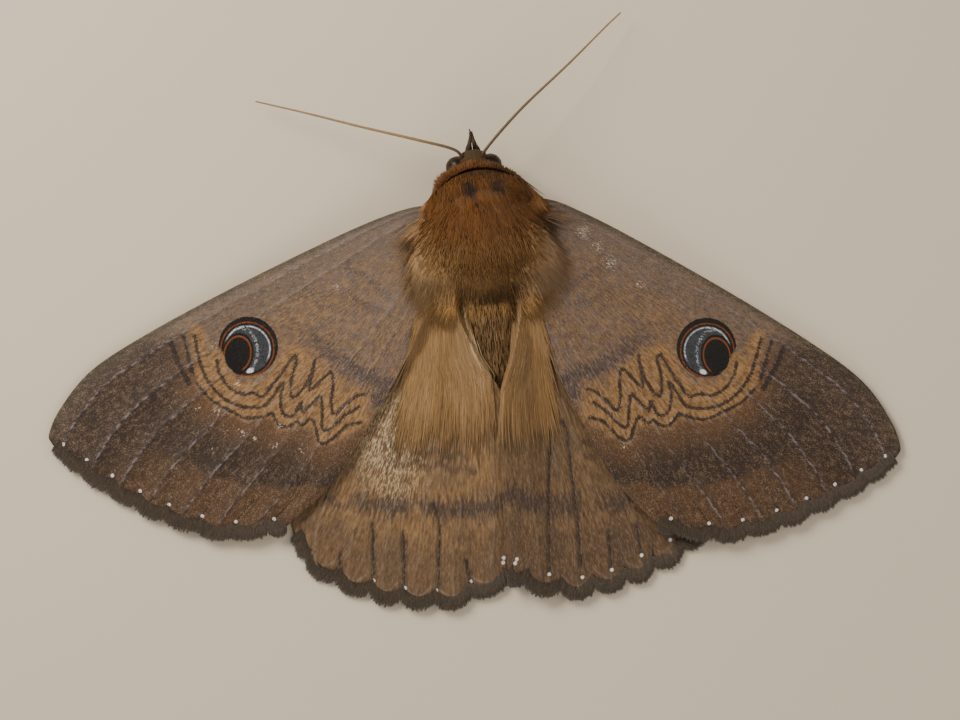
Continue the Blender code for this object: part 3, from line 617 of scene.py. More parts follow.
def eyespot(paint, u, v, grain, fine, ground):
    """The eyespot: black, rust and blue-white rings, a slate field and a black pupil."""
    ragged = (fine - 0.5) * 0.26
    rim = paint.length(u - EYESPOT["centre"][0], v - EYESPOT["centre"][1]) + ragged * 0.5
    ring = paint.length(u - EYESPOT["rings"][0], v - EYESPOT["rings"][1]) + ragged * 0.4
    turn = math.radians(EYESPOT["pupil_turn"])
    across = u - EYESPOT["pupil"][0]
    along = v - EYESPOT["pupil"][1]
    pupil = paint.length((across * math.sin(turn) + along * math.cos(turn))
                         / EYESPOT["pupil_long"],
                         (across * math.cos(turn) - along * math.sin(turn))
                         / EYESPOT["pupil_wide"]) + ragged * 0.35
    black = tone(0x0B090A)
    rust = tone(0x7C4010)
    blue_white = tone(0xD6E0EE)
    colour = paint.blend(grain.rise(0.36, 0.66), tone(0x24262B), tone(0x474B53))
    # Pale scales on the slate field: a broken arc beside the pupil, the ring just inside the rust
    # one and a blob behind the pupil.
    dashes = 1.0 - (paint.maths("ABSOLUTE", pupil - 1.72) - ragged).rise(0.03, 0.14)
    dashes = dashes * grain.rise(0.5, 0.62) * across.rise(-0.1, -0.7)
    colour = paint.blend(dashes * 0.7, colour, blue_white)
    white = 1.0 - (paint.maths("ABSOLUTE", ring - 2.27) + ragged * 0.4).rise(0.02, 0.12)
    white = white * grain.rise(0.34, 0.54) * (0.55 + 0.45 * grain.rise(0.46, 0.56))
    lower = (v - EYESPOT["rings"][1] + (u - EYESPOT["rings"][0]) * 0.4).rise(1.7, 1.1)
    colour = paint.blend(white * lower, colour, blue_white)
    blob = paint.length((u - EYESPOT["blob"][0]) * 0.75, v - EYESPOT["blob"][1]) + ragged * 0.8
    colour = paint.blend(blob.rise(0.34, 0.18), colour, tone(0xE4E8EE))
    colour = paint.blend(ring.rise(2.38, 2.46), colour, black)
    colour = paint.blend(ring.rise(2.56, 2.62) * ring.rise(2.78, 2.72) * grain.rise(0.34, 0.54),
                         colour, rust)
    colour = paint.blend(pupil.rise(1.42, 1.36), colour, black)
    rust_rim = pupil.rise(1.24, 1.19) * across.rise(0.5, 0.1).most(along.rise(-0.3, -0.9))
    colour = paint.blend(rust_rim * grain.rise(0.26, 0.4), colour, rust)
    colour = paint.blend(pupil.rise(1.12, 1.06), colour, black)
    cut = (u + (fine - 0.5) * 0.7).rise(EYESPOT["cut"] + 0.08, EYESPOT["cut"] - 0.08)
    whole = rim.rise(EYESPOT["rim"] - 0.1, EYESPOT["rim"] - 0.2)
    inside = whole * cut.most(pupil.rise(1.12, 1.06))
    return paint.blend(inside, ground, colour), inside


def forewing_finish():
    """Scales in ochre, violet-brown and maroon, with zigzags of dark scales and an eyespot."""
    material, paint = new_finish("forewing_scales", Sheen_Weight=0.06, Sheen_Roughness=0.45)
    lay = paint.read("lay")
    wing = paint.read("wing")
    u = wing.axis("X")
    v = wing.axis("Y")
    from_costa = wing.axis("Z")
    zones = paint.read("zones")
    ribs = paint.read("ribs")
    from_margin = ribs.axis("Y")
    bands = paint.read("bands")
    flaws = paint.read("flaws")
    fine, broad = scale_grain(lay)
    cloud = wing.noise((0.35, 0.35, 0.0), detail=4.0)
    speck = lay.noise((5.2, 2.6, 0.0), detail=1.0)
    mottle = wing.noise((1.2, 1.2, 0.0), detail=3.0)
    ragged = (fine - 0.5) * 0.5 + (broad - 0.5) * 0.3

    # The rows of dark scales: zigzags, arcs beyond the eyespot, and ochre scales beside them.
    zigzags = paint.read("zigzags")
    nearest = zigzags.axis("X").least(zigzags.axis("Y")).least(zigzags.axis("Z"))
    nearest = nearest.least(bands.axis("X") + 0.02)
    lines = (nearest + ragged * 0.85).rise(0.27, 0.05) * (0.8 + 0.5 * cloud)

    # Ground: brown with a violet bloom near the body, ochre beside the zigzags, maroon outside.
    inner = paint.blend(broad.rise(0.25, 0.75), tone(0x644D3A), tone(0x80664C))
    bloom = cloud.rise(0.4, 0.64) * u.rise(17.0, 9.0)
    bloom = (bloom + from_costa.rise(5.2, 1.4) * 0.75 * u.rise(38.0, 26.0)).least(1.0)
    bloom = bloom * (0.5 + 0.9 * broad.rise(0.35, 0.7)).least(1.0)
    inner = paint.blend(bloom * 0.7, inner, tone(0x6A5A57))
    warm = cloud.rise(0.55, 0.75) * u.rise(6.0, 10.0)
    inner = paint.blend(warm * 0.35, inner, tone(0x7E5A38))
    inner = paint.blend(mottle.rise(0.53, 0.68) * 0.5, inner, tone(0x5A4C52))
    inner = paint.blend(mottle.rise(0.47, 0.34) * 0.45, inner, tone(0x8C6C4A))
    front_edge = from_costa.rise(4.4, 2.2) * (0.4 + broad.rise(0.3, 0.7))
    inner = paint.blend((front_edge * 0.6).least(1.0), inner, tone(0x64564E))
    ochre = paint.blend(broad.rise(0.25, 0.75), tone(0x7C5932), tone(0xA67E4E))
    beside = (nearest + (broad - 0.5) * 0.7).rise(1.5, 0.55) * zones.axis("X")
    colour = paint.blend(beside * 0.85, inner, ochre)
    beyond = zones.axis("Z") + (broad - 0.5) * 2.6 + (cloud - 0.5) * 1.6
    outer = paint.blend(beyond.rise(0.2, 3.8), tone(0x5E4026), tone(0x2D1C13))
    pale_rim = (from_margin + (broad - 0.5) * 1.2).rise(DARK_EDGE + 0.3, DARK_EDGE - 0.4)
    outer = paint.blend(pale_rim * v.rise(3.0, 10.0) * 0.85, outer, tone(0x553A20))
    tip_cloud = cloud.rise(0.4, 0.65) * u.rise(26.0, 34.0)
    outer = paint.blend(tip_cloud * 0.5, outer, tone(0x38241C))
    outer = paint.blend(broad.rise(0.5, 0.8) * 0.25, outer, tone(0x604430))
    outer = paint.blend(from_costa.rise(6.0, 2.0) * 0.3, outer, tone(0x50403A))
    colour = paint.blend(zones.axis("Y") * (1.0 - beside * 0.8), colour, outer)

    # Dark bands: one across the middle, two wavy ones near the root, then the zigzags.
    violet = tone(0x383038)
    middle = (bands.axis("Y") + (broad - 0.5) * 1.8).rise(1.3, 0.1)
    colour = paint.blend(middle * v.rise(0.0, 7.0) * 0.75, colour, violet)
    roots = (bands.axis("Z") + (broad - 0.5) * 1.0).rise(0.6, 0.1)
    colour = paint.blend(roots * 0.4, colour, violet)
    colour = paint.blend((lines * 1.1).least(0.94), colour, tone(0x1F1412))

    # Olive edge along the front, dark rim before the fringe, ribs, creases and white dots.
    colour = paint.blend(from_costa.rise(0.8, 0.15) * 0.75, colour, tone(0x3C3829))
    colour = paint.blend((from_margin + ragged).rise(1.2, 0.5) * 0.85, colour, tone(0x2A231B))
    shade = (ribs.axis("X") + ragged * 0.6).rise(0.6, 0.1) * u.rise(22.0, 30.0)
    colour = paint.blend(shade * 0.35, colour, tone(0x271C20))
    rib = (ribs.axis("X") + ragged * 0.5).rise(0.2, 0.02) * broad.rise(0.42, 0.66)
    colour = paint.blend(rib * (0.42 + u.rise(24.0, 32.0) * 0.3) * from_margin.rise(0.9, 2.6),
                         colour, tone(0x86808C))
    glint = speck.rise(0.62, 0.72) * fine.rise(0.5, 0.64) * u.rise(26.0, 12.0)
    colour = paint.blend(glint * 0.5, colour, tone(0xCDC2B8))
    crease = (flaws.axis("X") + ragged * 0.1).rise(0.12, 0.04)
    colour = paint.blend(crease * from_margin.rise(0.25, 0.5), colour, tone(0x120C09))
    light = (fine - 0.5) * 1.35 + (broad - 0.5) * 0.7 + (cloud - 0.5) * 0.25
    light = light * (1.0 - lines.least(1.0) * 0.6)
    colour = paint.blend(light.most(0.0), colour, tone(0xB59B7E))
    colour = paint.blend((0.0 - light).most(0.0) * 1.4, colour, tone(0x140E0C))
    wear_and_glint = flaws.axis("Z") + (fine - 0.5) * 1.2 + (speck - 0.5) * 1.9
    colour = paint.blend(wear_and_glint.rise(1.0, 1.26) * 0.8, colour, tone(0xCFC2AE))
    colour, spot = eyespot(paint, u, v, broad * 0.35 + fine * 0.65, fine, colour)
    colour = paint.blend((flaws.axis("Y") + ragged * 0.2).rise(DOT_RADIUS + 0.05, DOT_RADIUS),
                         colour, tone(0xE8EAEE))

    # The underside is plain and paler, with its scales in the same rows.
    plain = paint.blend(broad, tone(0x66523C), tone(0x7E6852))
    colour = paint.blend(lay.axis("Z"), colour, plain)
    height = fine * 0.6 + broad * 0.6 + speck * 0.3 - crease * 0.8 + lines * 0.15
    finish(material, paint, colour, 0.62 - spot * 0.32 + (fine - 0.5) * 0.3, height)
    return material


forewing_coat = forewing_finish()
forewing_rims = {}
for wing_side in ("left", "right"):
    flat_grid, forewing_rims[wing_side] = forewing_shape(wing_side)
    own_grid = unswept(flat_grid.reshape(-1, 2), SWEEP_DEG[wing_side])
    from_eyespot = np.linalg.norm(own_grid - np.array(EYESPOT["centre"]), axis=1)
    level = ease(2.4, 3.8, from_eyespot).reshape(flat_grid.shape[:2])
    top_face, low_face, wing_places = wing_faces(flat_grid, wing_side, sheet_height, VEIN_STARTS,
                                                 level)
    forewing = wing_sheet("forewing_membrane_" + wing_side, wing_side, top_face, low_face)
    mark_forewing(forewing, wing_places, wing_side)
    forewing.data.materials.append(forewing_coat)
    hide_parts("forewing_" + wing_side)
    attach(forewing, "root")

# The hindwings are thin scaled membranes under the forewings, with a deeper scalloped edge. Their
# inner part lies over the abdomen, and the right one has two long slits in its membrane.
HINDWING_COSTA = ((9.5, -8.0), (14.5, -13.5), (19.3, -20.0), (21.6, -25.0))
HINDWING_MARGIN = ((21.5, -28.4), (19.4, -31.4), (16.3, -33.5), (12.9, -34.9), (9.7, -35.7),
                   (6.1, -36.1), (3.0, -35.3))
ANAL_ANGLE = {"left": (-1.5, -33.9), "right": (-0.1, -33.8)}
INNER_MARGIN = {
    "left": ((3.0, -8.0), (1.5, -12.0), (-0.6, -15.5), (-2.3, -20.0), (-2.6, -27.0)),
    "right": ((3.3, -8.0), (2.3, -12.0), (0.9, -15.5), (0.3, -20.0), (0.0, -27.0)),
}
HINDWING_NOTCHES = (0.0, 0.105, 0.245, 0.38, 0.505, 0.635, 0.775, 0.93, 1.0)
HINDWING_SCALLOP = 0.95
HINDWING_GRID = (241, 177)
HINDWING_VEINS = (0.0, 0.1, 0.42, 0.46, 0.42, 0.1, 0.0, 2.0)
HINDWING_ROOT_DEG = (-22.5, -44.0)
WING_STEP = 0.98
ABDOMEN_BULGE = 1.6
BULGE_HALF_WIDTH = 4.5
OVERLAP_STEP = 0.5
HINDWING_MAP_START = (4.0, 40.0)
HINDWING_MAP_SIDE = 44.0
SLIT_DEPTH = 0.16
SLIT_HALF_WIDTH = 0.16
# Slits and folds of each hindwing: first number outwards from the middle, second towards the head.
SLITS = {
    "left": (((13.2, -28.0), (13.6, -33.5)), ((10.2, -29.0), (10.5, -34.5)),
             ((6.5, -28.6), (6.8, -31.5), (7.2, -34.9)), ((4.1, -32.4), (3.9, -34.5)),
             ((16.7, -30.6), (16.9, -32.1)), ((6.9, -26.4), (6.5, -28.6))),
    "right": (((5.7, -17.0), (5.3, -19.8), (4.6, -26.8), (4.1, -34.1)),
              ((6.7, -19.3), (7.0, -20.5), (7.1, -25.1), (7.3, -29.1), (7.3, -33.8)),
              ((10.3, -30.8), (10.3, -34.5)), ((13.1, -30.3), (13.4, -33.1))),
}
HIND_ZIGZAGS = {
    "left": (((10.6, -20.2), (9.8, -21.0), (8.6, -20.6), (7.5, -21.5), (6.3, -21.0), (5.1, -21.9),
              (4.0, -21.4), (3.2, -22.3)),
             ((10.9, -21.7), (9.7, -22.4), (8.3, -22.0), (7.2, -22.9), (6.0, -22.4), (4.8, -23.3),
              (3.6, -22.9), (2.7, -23.6))),
    "right": (((13.2, -20.4), (12.0, -21.2), (10.8, -20.8), (9.6, -21.8), (8.6, -21.4)),
              ((13.4, -21.8), (12.2, -22.5), (10.9, -22.2), (9.7, -23.1), (8.6, -22.8))),
}
HIND_BAND = {
    "left": ((17.2, -24.9), (14.3, -25.7), (10.3, -26.6), (5.8, -27.1), (2.4, -27.2), (-1.1, -26.7)),
    "right": ((16.4, -26.2), (11.6, -27.8), (8.6, -27.8), (5.7, -27.4), (2.7, -26.8), (0.6, -26.0)),
}
HIND_DOTS = {
    "left": ((19.7, -30.3), (16.9, -32.3), (13.6, -33.6), (10.5, -34.6), (7.4, -35.1), (3.9, -34.5),
             (0.4, -32.4), (0.5, -32.9)),
    "right": ((16.4, -32.0), (13.4, -33.3), (10.3, -34.5), (7.3, -35.0), (4.0, -34.4), (0.7, -33.0),
              (0.9, -32.6), (-0.3, -31.8)),
}


def hindwing_height(x, y, side):
    """Height of the middle of the hindwing's membrane, which lies under the forewing."""
    along = ease(-34.0, -16.0, y)
    across = np.maximum(1.0 - (x / BULGE_HALF_WIDTH) ** 2, 0.0) ** 2
    overlap = 1.0 - ease(2.8, 6.0, np.abs(x))
    step = OVERLAP_STEP if side == "right" else -OVERLAP_STEP
    step = step * (1.0 - ease(-12.0, -6.0, y))
    return sheet_height(x, y) - WING_STEP + ABDOMEN_BULGE * along * across + step * overlap


def hindwing_shape(side):
    """Points of a hindwing's faces seen from above, and its edge for the fringe."""
    rows, columns = HINDWING_GRID
    line = HINDWING_MARGIN + (ANAL_ANGLE[side],)
    edge, outwards, bulge = scalloped(line, HINDWING_NOTCHES, HINDWING_SCALLOP,
                                      np.linspace(0.0, 1.0, columns))
    margin = edge + outwards * (bulge - EDGE_INSET)[:, None]
    root = root_arc(HINDWING_ROOT_DEG, columns)
    lengths = np.linspace(0.0, 1.0, rows)
    costa = smooth_curve([root[0], *HINDWING_COSTA, margin[0]], lengths)
    inner = smooth_curve([root[-1], *INNER_MARGIN[side], margin[-1]], lengths)
    return wing_grid(root, costa, margin, inner), (edge, outwards, bulge)


def slit_distance(points, side):
    """Distance of each point from the nearest slit or fold of a hindwing."""
    return np.min([line_distance(points, slit) for slit in SLITS[side]], axis=0)


def hindwing_map(x, y, under=0.0):
    """Places on a hindwing's map, laid out like a forewing's."""
    return np.stack(((x + HINDWING_MAP_START[0]) / HINDWING_MAP_SIDE + MAP_EDGE,
                     (y + HINDWING_MAP_START[1]) / HINDWING_MAP_SIDE * 0.48 + 0.01 + 0.5 * under), 1)


def mark_hindwing(piece, both, side):
    """Work out where each point of a hindwing lies among the wing's markings."""
    points = both["flat"]
    x, y = points.T
    shift = 40.0 if side == "left" else 130.0
    around = np.arctan2(x, 8.0 - y)
    mark(piece, "lay", np.stack((around * 34.0 + shift, np.hypot(x, 8.0 - y), both["under"]), 1))
    mark(piece, "wing", np.stack((x, y, both["t"] * both["width"]), 1))
    zigzags = [line_distance(points, rounded(line)) for line in HIND_ZIGZAGS[side]]
    band = line_distance(points, HIND_BAND[side])
    mark(piece, "bands", np.stack((np.minimum(*zigzags), band, slit_distance(points, side)), 1))
    mark(piece, "ribs", np.stack((both["to_vein"], both["to_margin"], both["s"]), 1))
    dots = spot_distance(points, HIND_DOTS[side])
    cells = len(HINDWING_NOTCHES) - 1
    wave = 0.5 - 0.5 * np.cos(2.0 * math.pi * cells * both["t"])
    mark(piece, "rows", np.stack((dots, both["to_margin"] - 0.2 + 0.55 * wave, wave), 1))
    bake_map(piece, hindwing_map(x, y, both["under"]))


def hindwing_finish(name, darkness):
    """Golden grey-brown scales in fine streaks, a faint zigzag, a violet band and white dots."""
    material, paint = new_finish(name, Sheen_Weight=0.2, Sheen_Roughness=0.45)
    lay = paint.read("lay")
    wing = paint.read("wing")
    x = wing.axis("X")
    y = wing.axis("Y")
    ribs = paint.read("ribs")
    from_margin = ribs.axis("Y")
    bands = paint.read("bands")
    rows = paint.read("rows")
    fine = lay.noise((13.0, 2.2, 0.0), detail=2.0)
    broad = lay.noise((4.2, 0.8, 0.0), detail=3.0)
    cloud = wing.noise((0.3, 0.3, 0.0), detail=3.0)
    ragged = (fine - 0.5) * 0.4 + (broad - 0.5) * 0.25

    colour = paint.blend(broad.rise(0.25, 0.75), tone(0x6E5234), tone(0x907048))
    colour = paint.blend(cloud.rise(0.4, 0.7) * 0.5, colour, tone(0x62503F))
    # Painted highlights: pale gloss streaks behind the forewing's rear edge, and a patch of pale glints
    # that fades out as the painted shade grows, so the shaded right wing has almost none.
    glossy = (y + broad * 6.0).rise(-22.0, -16.0) * broad.rise(0.5, 0.75)
    colour = paint.blend(glossy * 0.3, colour, tone(0xA2907A))
    wear_and_glint = paint.length((x - 10.8) * 0.4, (y + 20.0) * 0.24).rise(2.0, 0.4)
    wear_and_glint = wear_and_glint * (1.0 - 2.6 * darkness)
    colour = paint.blend(wear_and_glint * fine.rise(0.48, 0.6) * broad.rise(0.35, 0.55), colour, tone(0xDCCDAA))
    lines = (bands.axis("X") + ragged * 0.8).rise(0.5, 0.1)
    colour = paint.blend(lines * 0.5, colour, tone(0x3E2D26))
    band = (bands.axis("Y") + (broad - 0.5) * 2.8).rise(1.7, 0.1)
    colour = paint.blend(band * cloud.rise(0.2, 0.5) * 0.75, colour, tone(0x33272A))
    below = (from_margin + (broad - 0.5) * 1.6).rise(7.4, 4.6)
    colour = paint.blend(below * 0.5, colour, tone(0x4D3A2C))
    wavy = (paint.maths("ABSOLUTE", rows.axis("Y") - 1.25) + ragged * 0.5).rise(0.2, 0.06)
    colour = paint.blend(wavy * 0.4 * broad.rise(0.3, 0.6), colour, tone(0x9C8C78))
    colour = paint.blend((from_margin + ragged).rise(1.1, 0.3) * 0.85, colour, tone(0x2F2A22))
    rib = (ribs.axis("X") + ragged * 0.5).rise(0.2, 0.02) * broad.rise(0.35, 0.6)
    colour = paint.blend(rib * 0.3, colour, tone(0x8D8378))
    slit = (bands.axis("Z") + ragged * 0.3).rise(0.13, 0.03)
    lips = (bands.axis("Z") + ragged * 0.4).rise(0.5, 0.15)
    colour = paint.blend(lips * 0.4, colour, tone(0x2C201B))
    colour = paint.blend(slit * 0.9, colour, tone(0x120C0A))
    # Painted shade: the whole wing is darkened by its darkness, which is set for the right wing, away
    # from the light.
    colour = paint.blend(darkness, colour, tone(0x35231A))
    grain_share = (fine - 0.5) * 0.95 + (broad - 0.5) * 0.35
    colour = paint.blend(grain_share.most(0.0), colour, tone(0xB39A80))
    colour = paint.blend((0.0 - grain_share).most(0.0), colour, tone(0x140E0E))
    colour = paint.blend((rows.axis("X") + ragged * 0.2).rise(DOT_RADIUS + 0.05, DOT_RADIUS),
                         colour, tone(0xE8EAEE))
    plain = paint.blend(broad, tone(0x6E5A44), tone(0x86705A))
    colour = paint.blend(lay.axis("Z"), colour, plain)
    height = fine * 0.6 + broad * 0.6 - slit * 0.8
    finish(material, paint, colour, 0.6 + (fine - 0.5) * 0.25, height)
    return material


hindwing_rims = {}
# The right hindwing's darkness is painted shade, as the light falls from the left.
for wing_side, darkness in (("left", 0.0), ("right", 0.38)):
    flat_grid, hindwing_rims[wing_side] = hindwing_shape(wing_side)
    hang = functools.partial(hindwing_height, side=wing_side)
    top_face, low_face, wing_places = wing_faces(flat_grid, wing_side, hang, HINDWING_VEINS)
    flat_points = flat_grid.reshape(-1, 2)
    groove = np.exp(-((slit_distance(flat_points, wing_side) / SLIT_HALF_WIDTH) ** 2))
    top_face[..., 2] -= SLIT_DEPTH * groove.reshape(top_face.shape[:2])
    hindwing = wing_sheet("hindwing_membrane_" + wing_side, wing_side, top_face, low_face)
    mark_hindwing(hindwing, wing_places, wing_side)
    hindwing.data.materials.append(hindwing_finish("hindwing_scales_" + wing_side, darkness))
    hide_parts("hindwing_" + wing_side)
    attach(hindwing, "root")

# Under its coat the moth's body is one skin: a deep thorax, a small head tucked under the collar
# and a tapering abdomen with seven rings, which ends in a blunt tip.
COAT_CENTRE = (0.0, -1.0, 4.7)
COAT_SIZE = (6.9, 6.2, 4.4)
ABDOMEN_START_Y = -4.6
ABDOMEN_LENGTH = 21.5
ABDOMEN_HALF_WIDTH = 2.9
ABDOMEN_HALF_HEIGHT = 1.8
ABDOMEN_CLEARANCE = 0.4
ABDOMEN_RINGS = 7
HEAD_CENTRE = (-0.15, 6.35, 4.0)
HEAD_SIZE = (2.1, 1.95, 1.75)
COLLAR_CENTRE = (0.35, 0.9, 6.75)
COLLAR_RADIUS = 4.75
COLLAR_SPAN_DEG = (30.0, 143.0)
COLLAR_HALF_WIDTH = 1.15
COLLAR_HALF_HEIGHT = 0.8
NECK_SIZE = (2.0, 1.5, 1.7)
SKIN_NECK_CENTRE = (0.0, 4.7, 4.4)
ROLL_CENTRE = (0.2, 3.6, 6.1)
ROLL_SIZE = (3.0, 1.7, 0.9)
SKIN_INSET = 0.12
SKIN_VOXEL = 0.2
SKIN_SMOOTHING = 4


def ball_rings(centre, size, around=48, rings=32):
    """Points and triangles of a closed ball with three half widths."""
    tilt = math.pi * np.arange(rings + 1)[:, None] / rings
    turn = 2.0 * math.pi * np.arange(around)[None] / around
    points = np.stack((centre[0] + size[0] * np.sin(tilt) * np.cos(turn),
                       centre[1] + size[1] * np.sin(tilt) * np.sin(turn),
                       centre[2] + size[2] * np.cos(tilt) + 0.0 * turn), axis=-1)
    return tube_triangles(points)


def tube_triangles(rings):
    """Points and triangles of a closed tube through rings of points, capped at both ends."""
    count, around = rings.shape[:2]
    points = np.concatenate((rings.reshape(-1, 3), rings[0].mean(0)[None], rings[-1].mean(0)[None]))
    step = np.arange(around)
    after = (step + 1) % around
    triangles = []
    for ring in range(count - 1):
        low = ring * around
        triangles.append(np.stack((low + step, low + around + step, low + around + after), 1))
        triangles.append(np.stack((low + step, low + around + after, low + after), 1))
    first = count * around
    last = (count - 1) * around
    triangles.append(np.stack((np.full(around, first), step, after), 1))
    triangles.append(np.stack((np.full(around, first + 1), last + after, last + step), 1))
    return points, np.concatenate(triangles)


def round_tube(route, radii, around=24, flatten=1.0):
    """Rings of points along a route, with a radius for each of its stations."""
    route = np.asarray(route, float)
    run = np.gradient(route, axis=0)
    run /= np.linalg.norm(run, axis=1)[:, None]
    across = np.cross(run, (0.0, 0.0, 1.0))
    across /= np.maximum(np.linalg.norm(across, axis=1), 1e-6)[:, None]
    upward = np.cross(across, run)
    turn = 2.0 * math.pi * np.arange(around) / around
    radii = np.asarray(radii, float)[:, None, None]
    return (route[:, None] + across[:, None] * radii * np.cos(turn)[None, :, None]
            + upward[:, None] * radii * flatten * np.sin(turn)[None, :, None])


def abdomen_profile(t):
    """Half width and height of the abdomen's middle at shares of its length."""
    swell = np.sqrt(np.maximum(1.0 - (np.minimum(t, 0.95) * 1.05) ** 2.6, 0.0))
    swell = np.where(t < 0.94, swell, 0.25 * (1.0 - t) / 0.06)
    ring = np.mod(t * ABDOMEN_RINGS, 1.0)
    step = 1.0 - 0.055 * np.exp(-((np.minimum(ring, 1.0 - ring) / 0.12) ** 2))
    height = ABDOMEN_CLEARANCE + ABDOMEN_HALF_HEIGHT * (0.15 + 0.85 * swell)
    return ABDOMEN_HALF_WIDTH * swell * step - SKIN_INSET * np.minimum(swell * 2.0, 1.0), height


def inset(size):
    """Half widths of a part of the skin, a little under those of its solid."""
    return tuple(part - SKIN_INSET for part in size)


def skin_shapes():
    """The closed shapes that make up the body under the coat."""
    shapes = [ball_rings(THORAX_CENTRE, inset(THORAX_CORE)),
              ball_rings(HEAD_CENTRE, inset(HEAD_SIZE)),
              ball_rings(SKIN_NECK_CENTRE, NECK_SIZE)]
    t = np.linspace(0.0, 1.0, 85)
    half_width, height = abdomen_profile(t)
    route = np.stack((0.0 * t, ABDOMEN_START_Y + 1.5 - (ABDOMEN_LENGTH + 1.5) * t, height), axis=1)
    flatten = ABDOMEN_HALF_HEIGHT / ABDOMEN_HALF_WIDTH
    shapes.append(tube_triangles(round_tube(route, np.maximum(half_width, 0.02), 40, flatten)))
    t = np.linspace(0.0, 1.0, 30)
    turn = np.radians(COLLAR_SPAN_DEG[0] + (COLLAR_SPAN_DEG[1] - COLLAR_SPAN_DEG[0]) * t)
    route = np.stack((COLLAR_CENTRE[0] + (COLLAR_RADIUS - 0.2) * np.cos(turn),
                      COLLAR_CENTRE[1] + (COLLAR_RADIUS - 0.2) * np.sin(turn),
                      COLLAR_CENTRE[2] - 0.1 + 0.0 * t), axis=1)
    radii = (COLLAR_HALF_WIDTH - 0.25) * (0.3 + 0.7 * np.sqrt(np.sin(math.pi * np.clip(t, 0, 1))))
    flatten = COLLAR_HALF_HEIGHT / COLLAR_HALF_WIDTH
    shapes.append(tube_triangles(round_tube(route, radii, 24, flatten)))
    shapes.append(ball_rings(ROLL_CENTRE, ROLL_SIZE))
    return shapes


def around_body(points):
    """Place of each point on an unwrap of the skin: round the body's axis, and along it."""
    turn = np.arctan2(points[:, 0], points[:, 2] - 3.2)
    return np.stack((0.02 + 0.9 * (turn / (2.0 * math.pi) + 0.5),
                     0.02 + 0.96 * (points[:, 1] + 27.0) / 37.0), axis=1)


def unworld(points):
    """Places on the table in metres as points of the moth's frame in millimetres."""
    turn = math.radians(HEADING_DEG)
    x = points[:, 0] / MILLIMETRE - THORAX_PLACE[0]
    y = points[:, 1] / MILLIMETRE - THORAX_PLACE[1]
    return np.stack((x * math.cos(turn) + y * math.sin(turn),
                     -x * math.sin(turn) + y * math.cos(turn), points[:, 2] / MILLIMETRE), axis=1)


def body_skin():
    """Join the shapes of the body to one closed surface without seams."""
    points = []
    triangles = []
    count = 0
    for shape_points, shape_triangles in skin_shapes():
        points.append(shape_points)
        triangles.append(shape_triangles + count)
        count += len(shape_points)
    raw = triangle_mesh("raw_skin", world(np.concatenate(points)), np.concatenate(triangles))
    join = raw.modifiers.new("join", "REMESH")
    join.mode = "VOXEL"
    join.voxel_size = SKIN_VOXEL * MILLIMETRE
    smooth = raw.modifiers.new("smooth", "SMOOTH")
    smooth.iterations = SKIN_SMOOTHING
    mesh = bpy.data.meshes.new_from_object(
        raw.evaluated_get(bpy.context.evaluated_depsgraph_get()))
    bpy.data.objects.remove(raw)
    mesh.name = "body_skin"
    mesh.shade_smooth()
    skin = bpy.data.objects.new("body_skin", mesh)
    bpy.context.scene.collection.objects.link(skin)
    places = np.empty(len(mesh.vertices) * 3, np.float32)
    mesh.vertices.foreach_get("co", places)
    places = unworld(places.reshape(-1, 3).astype(float))
    mark(skin, "place", places)
    corners = np.empty(len(mesh.loops), np.int32)
    mesh.loops.foreach_get("vertex_index", corners)
    unwrap = around_body(places)[corners]
    starts = np.empty(len(mesh.polygons), np.int32)
    mesh.polygons.foreach_get("loop_start", starts)
    sizes = np.diff(np.append(starts, len(corners)))
    face = np.repeat(np.arange(len(starts)), sizes)
    highest = np.maximum.reduceat(unwrap[:, 0], starts)[face]
    unwrap[:, 0] += np.where(highest - unwrap[:, 0] > 0.45, 0.9, 0.0)
    unwrap[:, 0] = np.minimum(unwrap[:, 0], 0.999)
    layer = mesh.uv_layers.new(name="OFBake")
    layer.data.foreach_set("uv", unwrap.astype(np.float32).ravel())
    return skin


COAT_SPOTS = ((-0.8, 5.6, 1.0), (1.75, 5.6, 0.85))
ORANGE_TUFT = (-2.3, -3.9)
SHOULDER_GLOW = (-4.7, 3.0)


